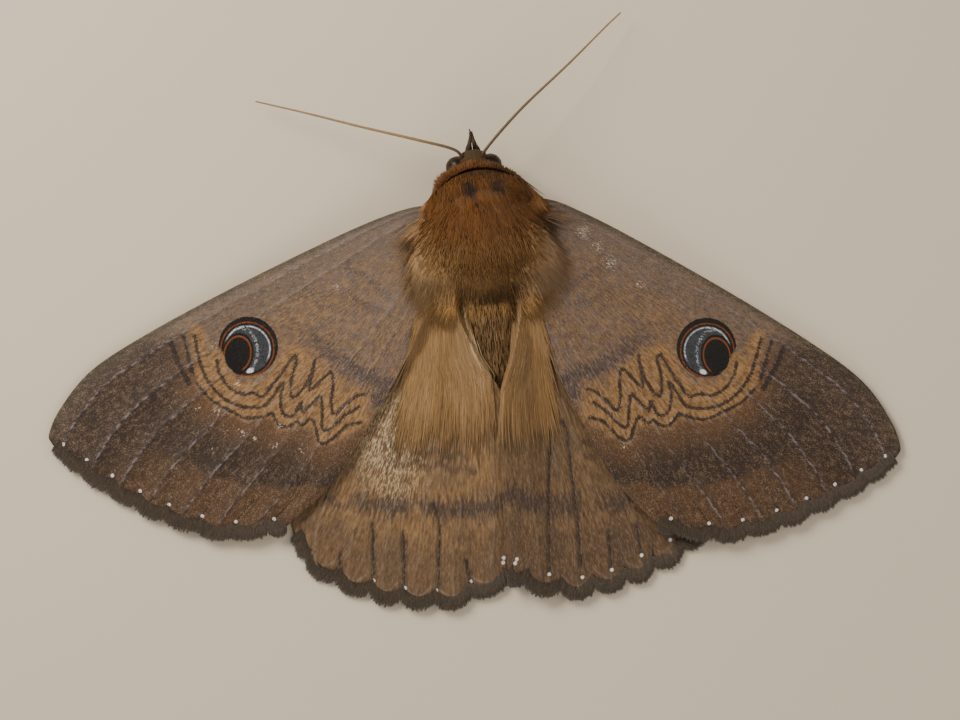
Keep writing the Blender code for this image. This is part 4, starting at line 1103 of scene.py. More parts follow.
def body_colour(paint, place, grain):
    """Colour of the body's skin and coat from the place where a hair is rooted."""
    x = place.axis("X")
    y = place.axis("Y")
    z = place.axis("Z")
    aside = paint.maths("ABSOLUTE", x)
    cloud = place.noise((0.5, 0.5, 0.5), detail=2.0, flat=False)
    colour = paint.blend(grain, tone(0x5F4222), tone(0x8A6334))
    front = (y + (cloud - 0.5) * 2.5).rise(0.4, 2.6) * aside.rise(6.0, 4.4)
    rufous = paint.blend(grain, tone(0x4C2C0C), tone(0x885416))
    # Painted shade: the front is darker towards the right, away from the light.
    rufous = paint.blend(x.rise(-1.0, 2.0) * 0.35, rufous, tone(0x3C2008))
    colour = paint.blend(front * 0.85, colour, rufous)
    shoulder = (aside + (cloud - 0.5) * 2.0).rise(3.0, 4.6) * y.rise(3.2, 0.5)
    colour = paint.blend(shoulder * 0.8, colour, paint.blend(grain, tone(0x886638), tone(0xBC986A)))
    # Painted light: the left side behind the shoulder is painted paler, for the light that falls on it
    # from the left.
    painted_light_flank = x.rise(-1.0, -2.8) * y.rise(0.8, -1.4)
    colour = paint.blend(painted_light_flank * 0.7, colour, paint.blend(grain, tone(0x84623A), tone(0xBE9864)))
    for spot_x, spot_y, share in COAT_SPOTS:
        spot = paint.length(x - spot_x, y - spot_y) + (cloud - 0.5) * 0.8
        colour = paint.blend(spot.rise(1.0, 0.3) * share, colour, tone(0x1E1006))
    rear = y.rise(-2.0, -4.2)
    colour = paint.blend(rear, colour, paint.blend(grain, tone(0x86643A), tone(0xC49A62)))
    patch = paint.length((x - 0.5) * 0.55, y + 4.1) + (cloud - 0.5) * 0.8
    patch = patch.rise(1.3, 0.5) * (1.0 - grain.rise(0.72, 0.9) * 0.6)
    colour = paint.blend(patch * 0.5, colour, tone(0x38240F))
    belly = y.rise(-6.4, -8.0)
    colour = paint.blend(belly, colour, paint.blend(grain, tone(0x7A5C3C), tone(0xA6865C)))
    ring = paint.maths("FRACT", (y - ABDOMEN_START_Y) * (-ABDOMEN_RINGS / ABDOMEN_LENGTH) + 8.0)
    edge = ring.rise(0.8, 0.98) * y.rise(-7.0, -8.5)
    colour = paint.blend(edge * 0.6, colour, tone(0x2E1D10))
    under = z.rise(3.4, 1.8)
    colour = paint.blend(under * 0.5, colour, paint.blend(grain, tone(0x7A6248), tone(0xA08766)))
    head = y.rise(6.3, 7.2)
    return paint.blend(head * 0.9, colour, paint.blend(grain, tone(0x2C2416), tone(0x5C4C32)))


def skin_finish():
    """Short dense scales over the body, which show between the hairs of the coat."""
    material, paint = new_finish("body_skin")
    place = paint.read("place")
    grain = place.noise((7.0, 2.5, 7.0), detail=3.0, flat=False)
    colour = body_colour(paint, place, grain * 0.7)
    colour = paint.blend(0.45, colour, tone(0x1D1510))
    finish(material, paint, colour, 0.75, grain, depth=0.05)
    return material


skin = body_skin()
skin.data.materials.append(skin_finish())
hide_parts("head", "thorax", "abdomen", "collar")
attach(skin, "root")

# The thorax wears a coat of long flat hairs over a dense short fur. Each hair is rooted in the
# skin, bends backwards and lies with its neighbours in a tuft.
UPWARD = np.array((0.0, 0.0, 1.0))
TUFT_WIDTHS = (0.7, 1.0, 0.72)
TUFT_CREST = 0.42
TUFT_PATCH = 0.003
COAT_SEED = 11
COAT_SPLAY = 0.5
COAT_SHOULDER = 0.4
COAT_REAR_Y = -7.3
LONG_HAIRS = 8800
LONG_CLUMPS = 1100
LONG_LENGTH = 5.2
LONG_WIDTH = 0.1
WING_CLEARANCE = 0.4


def tufts(name, paths, widths, upward, roots, zones, chance, crest=TUFT_CREST):
    """Many flat pointed hairs from their paths in millimetres, as one closed-surface piece."""
    count, stations = paths.shape[:2]
    run = np.gradient(paths, axis=1)
    across = np.cross(run, upward)
    across /= np.maximum(np.linalg.norm(across, axis=2), 1e-9)[..., None]
    raised = np.cross(across, run)
    raised /= np.maximum(np.linalg.norm(raised, axis=2), 1e-9)[..., None]
    profile = np.interp(np.linspace(0.0, 1.0, stations)[:-1], (0.0, 0.33, 0.67), TUFT_WIDTHS)
    spread = (widths[:, None] * profile[None])[..., None]
    base = paths[:, :-1]
    rings = np.stack((base - across[:, :-1] * spread / 2, base + across[:, :-1] * spread / 2,
                      base + raised[:, :-1] * spread * crest), axis=2)
    points = np.concatenate((rings.reshape(count, -1, 3), paths[:, -1:]), axis=1)
    per_tuft = points.shape[1]
    pattern = [(0, 1, 2)]
    for ring in range(stations - 2):
        for corner in range(3):
            a = ring * 3 + corner
            b = ring * 3 + (corner + 1) % 3
            pattern += [(b, a, a + 3), (b, a + 3, b + 3)]
    for corner in range(3):
        low = (stations - 2) * 3
        pattern.append((low + (corner + 1) % 3, low + corner, per_tuft - 1))
    triangles = (np.array(pattern)[None] + (np.arange(count) * per_tuft)[:, None, None])
    piece = triangle_mesh(name, world(points.reshape(-1, 3)), triangles.reshape(-1, 3))
    along = np.append(np.repeat(np.linspace(0.0, 1.0, stations)[:-1], 3), 1.0)
    sideways = np.append(np.tile((-1.0, 1.0, 0.0), stations - 1), 0.0)
    kinds = np.stack((np.repeat(chance.random(count), per_tuft), np.tile(along, count),
                      np.repeat(zones, per_tuft)), axis=1)
    mark(piece, "tuft", kinds)
    mark(piece, "place", np.repeat(paths[:, 0], per_tuft, axis=0))
    patch = np.stack((np.tile(sideways, count) * TUFT_PATCH / 2,
                      (np.tile(along, count) - 0.5) * TUFT_PATCH), axis=1)
    patch += np.repeat(roots, per_tuft, axis=0)
    bake_map(piece, np.clip(patch, 0.0, 1.0))
    return piece


def dome_height(x, y, centre, size):
    """Height of the top of a ball over a place, and the share of its width that is left there."""
    inside = 1.0 - ((x - centre[0]) / size[0]) ** 2 - ((y - centre[1]) / size[1]) ** 2
    return centre[2] + size[2] * np.sqrt(np.maximum(inside, 0.0)), inside


def dorsum_x(y, side):
    """How far from the middle the forewing's rear edge lies at a distance along the moth."""
    edge = swept(FOREWING_DORSUM, SWEEP_DEG[side])
    edge = np.concatenate((((4.8, -2.1),), edge))
    return np.interp(-y, -edge[:, 1], edge[:, 0])


def wing_top(x, y, side):
    """Height of hair that lies on the forewing, or behind it on the hindwing."""
    over = ease(-0.9, 0.2, np.abs(x) - dorsum_x(y, side))
    rear = hindwing_height(x, y, side)
    return rear + (sheet_height(x, y) - rear) * over + WING_CLEARANCE


def inner_margin_x(side, y):
    """How far from the middle the hindwing's inner edge lies at a distance along the moth."""
    edge = np.array(INNER_MARGIN[side])
    return np.interp(-y, -edge[:, 1], edge[:, 0])


def ground(x, y):
    """Height of what lies round the thorax over a place: the roots of the wings, the abdomen."""
    t = (ABDOMEN_START_Y + 1.5 - y) / (ABDOMEN_LENGTH + 1.5)
    half_width, middle = abdomen_profile(np.clip(t, 0.02, 0.95))
    arch = np.sqrt(np.maximum(1.0 - (x / half_width) ** 2, 0.0))
    belly = middle + half_width * arch * ABDOMEN_HALF_HEIGHT / ABDOMEN_HALF_WIDTH
    wing = np.where(x < 0.0, wing_top(x, y, "left"), wing_top(x, y, "right"))
    rest = np.maximum(wing, belly * (t > 0.0) + 0.3)
    margin = np.where(x < 0.0, inner_margin_x("left", y), inner_margin_x("right", y))
    parted = ease(0.2, -0.5, np.abs(x) - margin) * ease(-4.2, -5.6, y)
    return rest + (belly + 0.3 - rest) * parted


def coat_heading(y, side):
    """Which way hair leaves the thorax, as an angle from straight back."""
    shoulder = COAT_SHOULDER * ease(-1.5, 2.5, y) * np.abs(side) ** 3
    return side * (COAT_SPLAY * (0.6 + 0.4 * np.abs(side)) + shoulder)


def coat_paths(count, clumps, length, stations, seed, y_range, side_range):
    """Paths of hairs that leave the top of the thorax and lie in tufts along its coat."""
    chance = np.random.default_rng(seed)

    def roots(number):
        y = chance.uniform(*y_range, number)
        side = chance.uniform(*side_range, number)
        reach = np.sqrt(np.maximum(1.0 - ((y - THORAX_CENTRE[1]) / THORAX_CORE[1]) ** 2, 0.02))
        return THORAX_CORE[0] * 0.99 * reach * side, y, side

    share = np.linspace(0.0, 1.0, stations)[None]
    clump_x, clump_y, clump_side = roots(clumps)
    clump_heading = coat_heading(clump_y, clump_side) + chance.normal(0.0, 0.09, clumps)
    clump_length = length * chance.uniform(0.8, 1.12, clumps)
    x, y, side = roots(count)
    gaps = (x[:, None] - clump_x[None]) ** 2 + (y[:, None] - clump_y[None]) ** 2
    mine = np.argmin(gaps, axis=1)
    heading = clump_heading[mine] + chance.normal(0.0, 0.06, count)
    reach = clump_length[mine] * chance.uniform(0.8, 1.1, count)
    last_y = COAT_REAR_Y - 2.4 * ease(0.8, 2.8, np.abs(x)) + chance.normal(0.0, 0.9, count)
    reach = np.clip(reach, 0.9, np.maximum(y - last_y, 0.9))
    gather = 1.0 - 0.4 * share ** 1.3
    px = clump_x[mine][:, None] + (x - clump_x[mine])[:, None] * gather
    py = clump_y[mine][:, None] + (y - clump_y[mine])[:, None] * gather
    curl = chance.normal(0.0, 0.1, count)[:, None] * share
    px = px + reach[:, None] * share * np.sin(heading[:, None] + curl)
    py = py - reach[:, None] * share * np.cos(heading[:, None] + curl)
    rest = ground(px, py)
    core, inside = dome_height(px, py, THORAX_CENTRE, THORAX_CORE)
    coat, outside = dome_height(px, py, COAT_CENTRE, COAT_SIZE)
    coat = np.where(outside > 0.0, np.maximum(coat, rest), rest)
    coat = coat + (rest - coat) * ease(-3.0, -7.2, py)
    low = np.where(inside > 0.0, np.maximum(core, rest * (inside < 0.15)), rest) - 0.2
    layer = chance.uniform(0.35, 1.0, count)[:, None]
    height = low + np.maximum(coat - 0.1 - low, 0.08) * np.minimum(share * 3.0, 1.0) * layer
    over_wing = (inside < 0.12) | (core < rest)
    height = np.where(over_wing, np.maximum(height, rest - 0.1 + 0.3 * layer), height)
    return np.stack((px, py, height), axis=2), side, chance


def hair_finish(name, spread=0.7):
    """Hair that is darker at its root and paler towards its tip, in the colours of its place."""
    material, paint = new_finish(name, Sheen_Weight=0.05, Specular_IOR_Level=0.25)
    tuft = paint.read("tuft")
    place = paint.read("place")
    random_part = tuft.axis("X")
    along = tuft.axis("Y")
    grain = random_part * spread + along * 0.35 + (0.7 - spread) * 0.5
    colour = body_colour(paint, place, grain.least(1.0))
    colour = paint.blend((1.0 - along) * 0.3, colour, tone(0x1B120C))
    onto_wing = paint.maths("ABSOLUTE", tuft.axis("Z") - 0.4).rise(0.08, 0.04)
    # Side hair fades to pale tan towards its tips, and on the right a touch paler still: partly the
    # hair's own fade onto the wing, partly painted light over the shade at the thorax's sides.
    tip = paint.blend(place.axis("X").rise(1.5, 4.0), tone(0xCCAC84), tone(0xD0B090))
    colour = paint.blend(onto_wing * (0.12 + along * 0.5), colour, tip)
    glow = paint.length(place.axis("X") - SHOULDER_GLOW[0], place.axis("Y") - SHOULDER_GLOW[1])
    glow = (glow + (random_part - 0.5) * 1.2).rise(1.1, 0.3)
    colour = paint.blend(glow * 0.5, colour, tone(0xA86424))
    orange = paint.length(place.axis("X") - ORANGE_TUFT[0], place.axis("Y") - ORANGE_TUFT[1])
    orange = orange.rise(0.6, 0.2) * tuft.axis("Z").rise(0.1, 0.05)
    colour = paint.blend(orange * 0.7, colour, tone(0xA4621C))
    finish(material, paint, colour, 0.55)
    return material


thorax_coat = hair_finish("thorax_hair")
for number, side_range in enumerate(((-1.0, 0.0), (0.0, 1.0))):
    paths, shares, coat_chance = coat_paths(LONG_HAIRS, LONG_CLUMPS, LONG_LENGTH, 4,
                                            COAT_SEED + number, (-4.9, 4.6), side_range)
    widths = LONG_WIDTH * coat_chance.uniform(0.75, 1.25, len(paths))
    lean = np.stack((0.25 * shares, 0.0 * shares, 1.0 + 0.0 * shares), axis=1)[:, None]
    hair = tufts("thorax_hair_%d" % number, paths, widths, lean, around_body(paths[:, 0]),
                 np.zeros(len(paths)), coat_chance)
    hair.data.materials.append(thorax_coat)
    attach(hair, "root")

# Between the collar and the middle of the back the thorax is velvety: short rust-brown hair that
# starts right behind the collar, stands a little and leans backwards.
VELVET_HAIRS = 10500
VELVET_CLUMPS = 1700
VELVET_LENGTH = 2.9
VELVET_WIDTH = 0.09
VELVET_LIFT = 0.5
VELVET_DIP = (2.2, 4.75)
VELVET_REAR_Y = 0.2
ROLL_HALF_WIDTH = 1.0


def roll_height(x, y):
    """Height of the roll behind the collar over a place, or of the floor beside it."""
    away = np.hypot(x - COLLAR_CENTRE[0], y - COLLAR_CENTRE[1]) - (COLLAR_RADIUS - 0.2)
    turn = np.degrees(np.arctan2(y - COLLAR_CENTRE[1], x - COLLAR_CENTRE[0]))
    ends = ease(COLLAR_SPAN_DEG[0] - 2.0, COLLAR_SPAN_DEG[0] + 22.0, turn)
    ends *= 1.0 - ease(COLLAR_SPAN_DEG[1] - 22.0, COLLAR_SPAN_DEG[1] + 2.0, turn)
    bulge = np.sqrt(np.maximum(1.0 - (away / ROLL_HALF_WIDTH) ** 2, 0.0))
    return COLLAR_CENTRE[2] - 0.5 + (COLLAR_HALF_HEIGHT + 0.35) * bulge * ends


def back_height(x, y):
    """Height of the top of the skin over a place: the thorax, or the roll on its front."""
    core = dome_height(x, y, THORAX_CENTRE, inset(THORAX_CORE))[0]
    roll = roll_height(x, y)
    bulging = roll > COLLAR_CENTRE[2] - 0.45
    return np.where(bulging, np.maximum(core, roll), core)


def velvet_height(x, y):
    """Height of a straight line over the dip between the back and the collar, over a place."""
    away = np.maximum(np.hypot(x - COLLAR_CENTRE[0], y - COLLAR_CENTRE[1]), 0.1)
    first, last = [(COLLAR_CENTRE[0] + (x - COLLAR_CENTRE[0]) * reach / away,
                    COLLAR_CENTRE[1] + (y - COLLAR_CENTRE[1]) * reach / away)
                   for reach in VELVET_DIP]
    back = dome_height(*first, COAT_CENTRE, COAT_SIZE)[0]
    front = roll_height(*last)
    share = np.clip((away - VELVET_DIP[0]) / (VELVET_DIP[1] - VELVET_DIP[0]), 0.0, 1.0)
    return np.where(y > COLLAR_CENTRE[1], back + (front - back) * share, 0.0)


def combed_paths(roots, heading, reach, lift, stations, chance, clumps, gather_to=0.6):
    """Paths over the top of the body that start at given roots, lean one way and form tufts."""
    count = len(roots)
    chosen = chance.choice(count, clumps, replace=False)
    centres = roots[chosen]
    mine = np.empty(count, int)
    for start in range(0, count, 2000):
        block = roots[start:start + 2000]
        gaps = ((block[:, None] - centres[None]) ** 2).sum(axis=2)
        mine[start:start + 2000] = np.argmin(gaps, axis=1)
    share = np.linspace(0.0, 1.0, stations)[None]
    gather = 1.0 - (1.0 - gather_to) * share ** 1.3
    turn = heading[chosen][mine] + chance.normal(0.0, 0.08, count)
    length = np.broadcast_to(reach, (count,)) * chance.uniform(0.8, 1.12, clumps)[mine]
    px = centres[mine, 0][:, None] + (roots[:, 0] - centres[mine, 0])[:, None] * gather
    py = centres[mine, 1][:, None] + (roots[:, 1] - centres[mine, 1])[:, None] * gather
    px = px + length[:, None] * share * np.sin(turn[:, None] + 0.12 * share)
    py = py - length[:, None] * share * np.cos(turn[:, None] + 0.12 * share)
    return px, py, share, chance.uniform(0.4, 1.0, count)[:, None] * lift


velvet_chance = np.random.default_rng(21)
velvet_turn = np.radians(velvet_chance.uniform(24.0, 149.0, VELVET_HAIRS))
front = velvet_chance.random(VELVET_HAIRS) < 0.5
velvet_reach = np.where(front, velvet_chance.uniform(3.7, 6.0, VELVET_HAIRS),
                        4.6 * np.sqrt(velvet_chance.random(VELVET_HAIRS)))
velvet_roots = np.stack((COLLAR_CENTRE[0] + velvet_reach * np.cos(velvet_turn),
                         COLLAR_CENTRE[1] + velvet_reach * np.sin(velvet_turn)), axis=1)
velvet_roots = velvet_roots[velvet_roots[:, 1] > VELVET_REAR_Y]
velvet_side = np.clip(velvet_roots[:, 0] / 5.2, -1.0, 1.0)
px, py, share, lift = combed_paths(velvet_roots, 0.55 * velvet_side, VELVET_LENGTH, VELVET_LIFT, 4,
                                   velvet_chance, VELVET_CLUMPS)
skin_height = back_height(px, py)
coat_top = dome_height(px, py, COAT_CENTRE, COAT_SIZE)[0]
pz = skin_height - 0.12 + (lift + 0.18) * np.minimum(share * 3.0, 1.0)
filled = np.maximum(coat_top - 0.4, velvet_height(px, py) - 0.15) + 0.35 * lift
pz = np.where(share > 0.2, np.maximum(pz, filled), pz)
velvet_paths = np.stack((px, py, pz), axis=2)
velvet_widths = VELVET_WIDTH * velvet_chance.uniform(0.75, 1.25, len(velvet_paths))
velvet = tufts("thorax_velvet", velvet_paths, velvet_widths, UPWARD,
               around_body(velvet_paths[:, 0]), np.full(len(velvet_paths), 0.2), velvet_chance)
velvet.data.materials.append(thorax_coat)
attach(velvet, "root")

# Longer, looser hair leaves the sides and the rear of the thorax. It lies over the roots of the
# forewings, and behind them runs into the fans of the hindwings.
SIDE_HAIRS = 5200
SIDE_CLUMPS = 620
SIDE_LENGTH = 7.2
SIDE_LAST_Y = -8.0
SIDE_WIDTH = 0.1
SIDE_TURN = {"left": (0.15, 0.5), "right": (0.08, 0.42)}
SKIRT_SIZE = (8.8, 7.8)
SKIRT_RISE = 4.3
SHOULDER_SHARE = {"left": 0.07, "right": 0.03}
SHOULDER_TURN = 1.1


def skirt_height(x, y):
    """Height of the loose hair that comes down from the thorax's side to the wing."""
    away = (x / SKIRT_SIZE[0]) ** 2 + ((y - COAT_CENTRE[1]) / SKIRT_SIZE[1]) ** 2
    return ground(x, y) + SKIRT_RISE * np.maximum(1.0 - away, 0.0) ** 1.5


for wing_side, sign in (("left", -1.0), ("right", 1.0)):
    side_chance = np.random.default_rng(31 if sign < 0.0 else 32)
    y = side_chance.uniform(-4.2, 4.2, SIDE_HAIRS)
    share_out = side_chance.uniform(0.55, 1.0, SIDE_HAIRS) ** 0.7
    span = np.sqrt(np.maximum(1.0 - ((y - THORAX_CENTRE[1]) / THORAX_CORE[1]) ** 2, 0.03))
    roots = np.stack((sign * THORAX_CORE[0] * span * share_out, y), axis=1)
    least_turn, more_turn = SIDE_TURN[wing_side]
    heading = sign * (least_turn + more_turn * share_out * ease(-6.5, 2.0, y))
    last_y = SIDE_LAST_Y + side_chance.normal(0.0, 0.9, SIDE_HAIRS)
    side_reach = np.clip(y - last_y, 1.2, SIDE_LENGTH * side_chance.uniform(0.5, 1.1, SIDE_HAIRS))
    shoulder = side_chance.random(SIDE_HAIRS) < SHOULDER_SHARE[wing_side]
    out = side_chance.uniform(3.3, 4.9, SIDE_HAIRS)
    ahead = side_chance.uniform(2.2, 3.8, SIDE_HAIRS)
    roots = np.where(shoulder[:, None], np.stack((sign * out, ahead), axis=1), roots)
    heading = np.where(shoulder, sign * SHOULDER_TURN, heading)
    side_reach = np.where(shoulder, side_chance.uniform(0.7, 1.7, SIDE_HAIRS), side_reach)
    px, py, share, lift = combed_paths(roots, heading, side_reach, 1.0, 4, side_chance, SIDE_CLUMPS)
    core, inside = dome_height(px, py, THORAX_CENTRE, THORAX_CORE)
    coat_top, outside = dome_height(px, py, COAT_CENTRE, COAT_SIZE)
    rest = ground(px, py)
    start = np.where(inside > 0.0, core, rest) - 0.2
    falling = np.maximum(np.where(outside > 0.0, coat_top - 0.35, rest), skirt_height(px, py))
    falling = falling + (rest - falling) * ease(-3.2, -7.2, py)
    pz = start + (falling - start) * np.minimum(share * 2.6, 1.0)
    pz = np.maximum(pz, rest - 0.2 + 0.35 * lift * (1.0 - share))
    pz[:, 0] = start[:, 0]
    side_paths = np.stack((px, py, pz), axis=2)
    side_widths = SIDE_WIDTH * side_chance.uniform(0.7, 1.2, len(side_paths))
    hair = tufts("thorax_side_hair_" + wing_side, side_paths, side_widths,
                 UPWARD, around_body(side_paths[:, 0]), np.full(len(side_paths), 0.4),
                 side_chance)
    hair.data.materials.append(thorax_coat)
    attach(hair, "root")

# The collar is a band of broad rust-brown scales in front of the velvet, pressed forwards over the back
# of the head. A dark line of shade, deepened by a painted shadow at the scales' roots, parts it from the
# velvet.
COLLAR_SCALES = 4200
COLLAR_SCALE_LENGTH = 0.95
COLLAR_SCALE_WIDTH = 0.12
COLLAR_TAPER_DEG = 14.0
COLLAR_TUFTS = 380
COLLAR_BEYOND_DEG = (6.0, 3.0)
COLLAR_MIDDLE_DEG = 86.0
# Distance of a scale's root from the collar's centre and its height, and what the top layer adds.
COLLAR_ROOT_REACH = (5.2, 0.35)
COLLAR_ROOT_HEIGHT = (6.15, 0.9)
COLLAR_FALL = 1.6

collar_chance = np.random.default_rng(41)
collar_first = COLLAR_SPAN_DEG[0] - COLLAR_BEYOND_DEG[0]
collar_last = COLLAR_SPAN_DEG[1] + COLLAR_BEYOND_DEG[1]
turn = np.radians(collar_chance.uniform(collar_first, collar_last, COLLAR_SCALES))
layer = collar_chance.random(COLLAR_SCALES)
start = COLLAR_ROOT_REACH[0] + COLLAR_ROOT_REACH[1] * layer
height = (COLLAR_ROOT_HEIGHT[0] + COLLAR_ROOT_HEIGHT[1] * layer
          - COLLAR_FALL * np.abs(turn - math.radians(COLLAR_MIDDLE_DEG)) ** 2.2)
share = np.linspace(0.0, 1.0, 4)[None]
tuft_centres = collar_chance.uniform(turn.min(), turn.max(), COLLAR_TUFTS)
tuft_turn = tuft_centres[np.argmin(np.abs(turn[:, None] - tuft_centres[None]), axis=1)]
turn_path = turn[:, None] + (tuft_turn - turn)[:, None] * 0.3 * share
from_end = np.degrees(turn) - COLLAR_SPAN_DEG[0] + COLLAR_BEYOND_DEG[0]
from_end = np.minimum(from_end, collar_last - np.degrees(turn))
scale_length = COLLAR_SCALE_LENGTH * (0.45 + 0.55 * ease(0.0, COLLAR_TAPER_DEG, from_end))
scale_length *= np.minimum(0.88 - 0.5 * np.cos(turn), 1.1)
scale_length *= collar_chance.uniform(0.5, 1.2, COLLAR_SCALES)
reach = start[:, None] + scale_length[:, None] * share
collar_paths = np.stack((
    COLLAR_CENTRE[0] + reach * np.cos(turn_path), COLLAR_CENTRE[1] + reach * np.sin(turn_path),
    height[:, None] + 0.25 * np.sin(math.pi * np.minimum(share * 1.2, 1.0)) - 0.35 * share ** 2),
    axis=2)
collar_paths[:, 0, 2] -= 0.15
outward = np.stack((0.3 * np.cos(turn), 0.3 * np.sin(turn), np.ones(COLLAR_SCALES)), axis=1)
collar = tufts("collar_scales", collar_paths,
               COLLAR_SCALE_WIDTH * collar_chance.uniform(0.8, 1.2, COLLAR_SCALES),
               outward[:, None], around_body(collar_paths[:, 0]), np.full(COLLAR_SCALES, 1.0),
               collar_chance)


def collar_finish():
    """Rust-brown scales, dark at the root as a painted shadow, and darker on the right as painted shade.
    """
    material, paint = new_finish("collar_scales", Specular_IOR_Level=0.25)
    tuft = paint.read("tuft")
    along = tuft.axis("Y")
    colour = paint.blend((tuft.axis("X") * 0.8 + along * 0.25).least(1.0), tone(0x54341A),
                         tone(0x8E6034))
    x = paint.read("place").axis("X")
    # Painted shade: the collar is darker on the right, away from the light.
    colour = paint.blend(x.rise(0.5, 2.5) * 0.6, colour, tone(0x3C210C))
    colour = paint.blend(x.rise(-4.0, -4.8) * 0.6, colour, tone(0xC0701C))
    # Painted shadow: the scales darken towards their roots, for the dark line behind the collar.
    colour = paint.blend((1.0 - along) ** 2.0 * 0.6, colour, tone(0x1C100A))
    finish(material, paint, colour, 0.55)
    return material


collar.data.materials.append(collar_finish())
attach(collar, "root")

# Each hindwing carries a fan of long, glossy, pale hair over its inner part. The hairs start
# under the thorax's coat and lie flat on the wing, in strands that converge backwards.
FAN_HAIRS = {"left": 6400, "right": 4200}
FAN_CLUMPS = 900
FAN_FIRST_Y = -4.8
FAN_LAST_Y = -15.0
FAN_CREST = 0.22
FAN_OUTER_X = {"left": (5.7, 11.3), "right": (4.6, 6.2)}
FAN_MIDLINE = 0.35
FAN_OVERHANG = 0.55
FAN_LENGTH = 7.4
FAN_WIDTH = 0.1


def fan_paths(side, sign, chance):
    """Paths of the hairs of a hindwing's fan."""
    count = FAN_HAIRS[side]
    start_y = FAN_FIRST_Y + (FAN_LAST_Y - FAN_FIRST_Y) * chance.random(count) ** 1.6
    clump_share = chance.random(FAN_CLUMPS)
    mine = chance.integers(0, FAN_CLUMPS, count)
    share_out = clump_share[mine] + chance.normal(0.0, 0.03, count)
    share = np.linspace(0.0, 1.0, 5)[None]
    length = FAN_LENGTH * chance.uniform(0.35, 1.2, count)[:, None]
    py = start_y[:, None] - length * share
    pull = share_out[:, None] + (clump_share[mine] - share_out)[:, None] * 0.6 * share
    inner = np.maximum(inner_margin_x(side, py), FAN_MIDLINE) - 0.1
    inner = inner - FAN_OVERHANG * ease(-13.0, -8.0, py)
    outer = np.interp(-py, (-FAN_FIRST_Y, 24.0), FAN_OUTER_X[side])
    px = inner + (outer - inner) * pull
    drift = chance.normal(0.0, 0.12, count)[:, None] * share * (1.0 + 4.0 * pull ** 4)
    x = sign * (px + drift)
    lift = chance.uniform(0.2, 1.0, count)[:, None] * (1.0 - 0.6 * pull)
    top = wing_top(x, py, side) - WING_CLEARANCE + FACE_ABOVE
    top = np.minimum(top, ground(x, py) + 0.1)
    arch = np.sin(math.pi * np.clip(0.1 + 0.85 * share, 0.0, 1.0))
    height = top + 0.04 + 0.16 * lift * arch
    height[:, 0] = top[:, 0] - 0.08
    height[:, -1] = top[:, -1] - 0.03
    return np.stack((x, py, height), axis=2), clump_share[mine]


def fan_finish():
    """Long glossy hair, golden brown with straw and grey-pink strands, fading to its ends."""
    material, paint = new_finish("fan_hair", Sheen_Weight=0.1, Specular_IOR_Level=0.4)
    tuft = paint.read("tuft")
    place = paint.read("place")
    chance_part = tuft.axis("X")
    along = tuft.axis("Y")
    strand = place.noise((1.6, 0.25, 0.0), detail=2.0)
    grain = (chance_part * 0.55 + strand.rise(0.3, 0.7) * 0.3 + 0.1)
    colour = paint.blend(grain, tone(0x745430), tone(0xB08C5A))
    colour = paint.blend(chance_part.rise(0.85, 0.95) * 0.4, colour, tone(0xB49A80))
    edge = tuft.axis("Z").rise(0.1, 0.04) * place.axis("X").rise(0.0, -0.5)
    edge = edge * place.axis("Y").rise(-11.0, -9.0) * chance_part.rise(0.2, 0.5)
    colour = paint.blend(edge * 0.6, colour, tone(0xDCC8A0))
    # Painted light: the left fan is paler at its roots, lifting the shade under the thorax's coat.
    root = (1.0 - along) * place.axis("X").rise(1.0, -1.0)
    colour = paint.blend(root * 0.12, colour, tone(0xC6A67A))
    colour = paint.blend(along.rise(0.5, 1.0) * 0.6, colour, tone(0x8A6C48))
    finish(material, paint, colour, 0.42)
    return material


fan_coat = fan_finish()
for wing_side, sign in (("left", -1.0), ("right", 1.0)):
    fan_chance = np.random.default_rng(51 if sign < 0.0 else 52)
    paths, shares_out = fan_paths(wing_side, sign, fan_chance)
    roots = hindwing_map(np.abs(paths[:, 0, 0]), paths[:, 0, 1])
    fan = tufts("fan_hair_" + wing_side, paths,
                FAN_WIDTH * fan_chance.uniform(0.7, 1.2, len(paths)), UPWARD,
                roots, shares_out, fan_chance, crest=FAN_CREST)
    fan.data.materials.append(fan_coat)
    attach(fan, "root")

# The abdomen is covered all round with short hair that lies backwards, ring by ring, and ends in
# a loose brush. A dark tuft stands at its root, where it leaves the thorax.
ABDOMEN_HAIRS = 5600
ABDOMEN_HAIR_LENGTH = 1.9
ABDOMEN_HAIR_WIDTH = 0.1

abdomen_chance = np.random.default_rng(61)
start_t = abdomen_chance.random(ABDOMEN_HAIRS) ** 1.15 * 0.97
around = abdomen_chance.uniform(-math.pi, math.pi, ABDOMEN_HAIRS)
share = np.linspace(0.0, 1.0, 4)[None]
length = ABDOMEN_HAIR_LENGTH * abdomen_chance.uniform(0.7, 1.25, ABDOMEN_HAIRS)
length = (length * np.where(start_t > 0.9, 1.3, 1.0))[:, None]
along_t = start_t[:, None] + length * share / ABDOMEN_LENGTH
half_width, middle = abdomen_profile(np.minimum(along_t, 0.96))
tip_pull = np.where(along_t > 0.94, 0.6, 1.0)
seen = ease(0.5, 0.9, np.cos(around)) * ease(0.35, 0.15, start_t)
lift = 0.04 + 0.4 * seen[:, None] * np.minimum(share * 3.0, 1.0)
lift = lift + 0.2 * np.sin(math.pi * np.clip(share, 0.0, 0.85)) * abdomen_chance.uniform(
    0.4, 1.0, ABDOMEN_HAIRS)[:, None]
flatten = ABDOMEN_HALF_HEIGHT / ABDOMEN_HALF_WIDTH
wander = around[:, None] + abdomen_chance.normal(0.0, 0.08, ABDOMEN_HAIRS)[:, None] * share
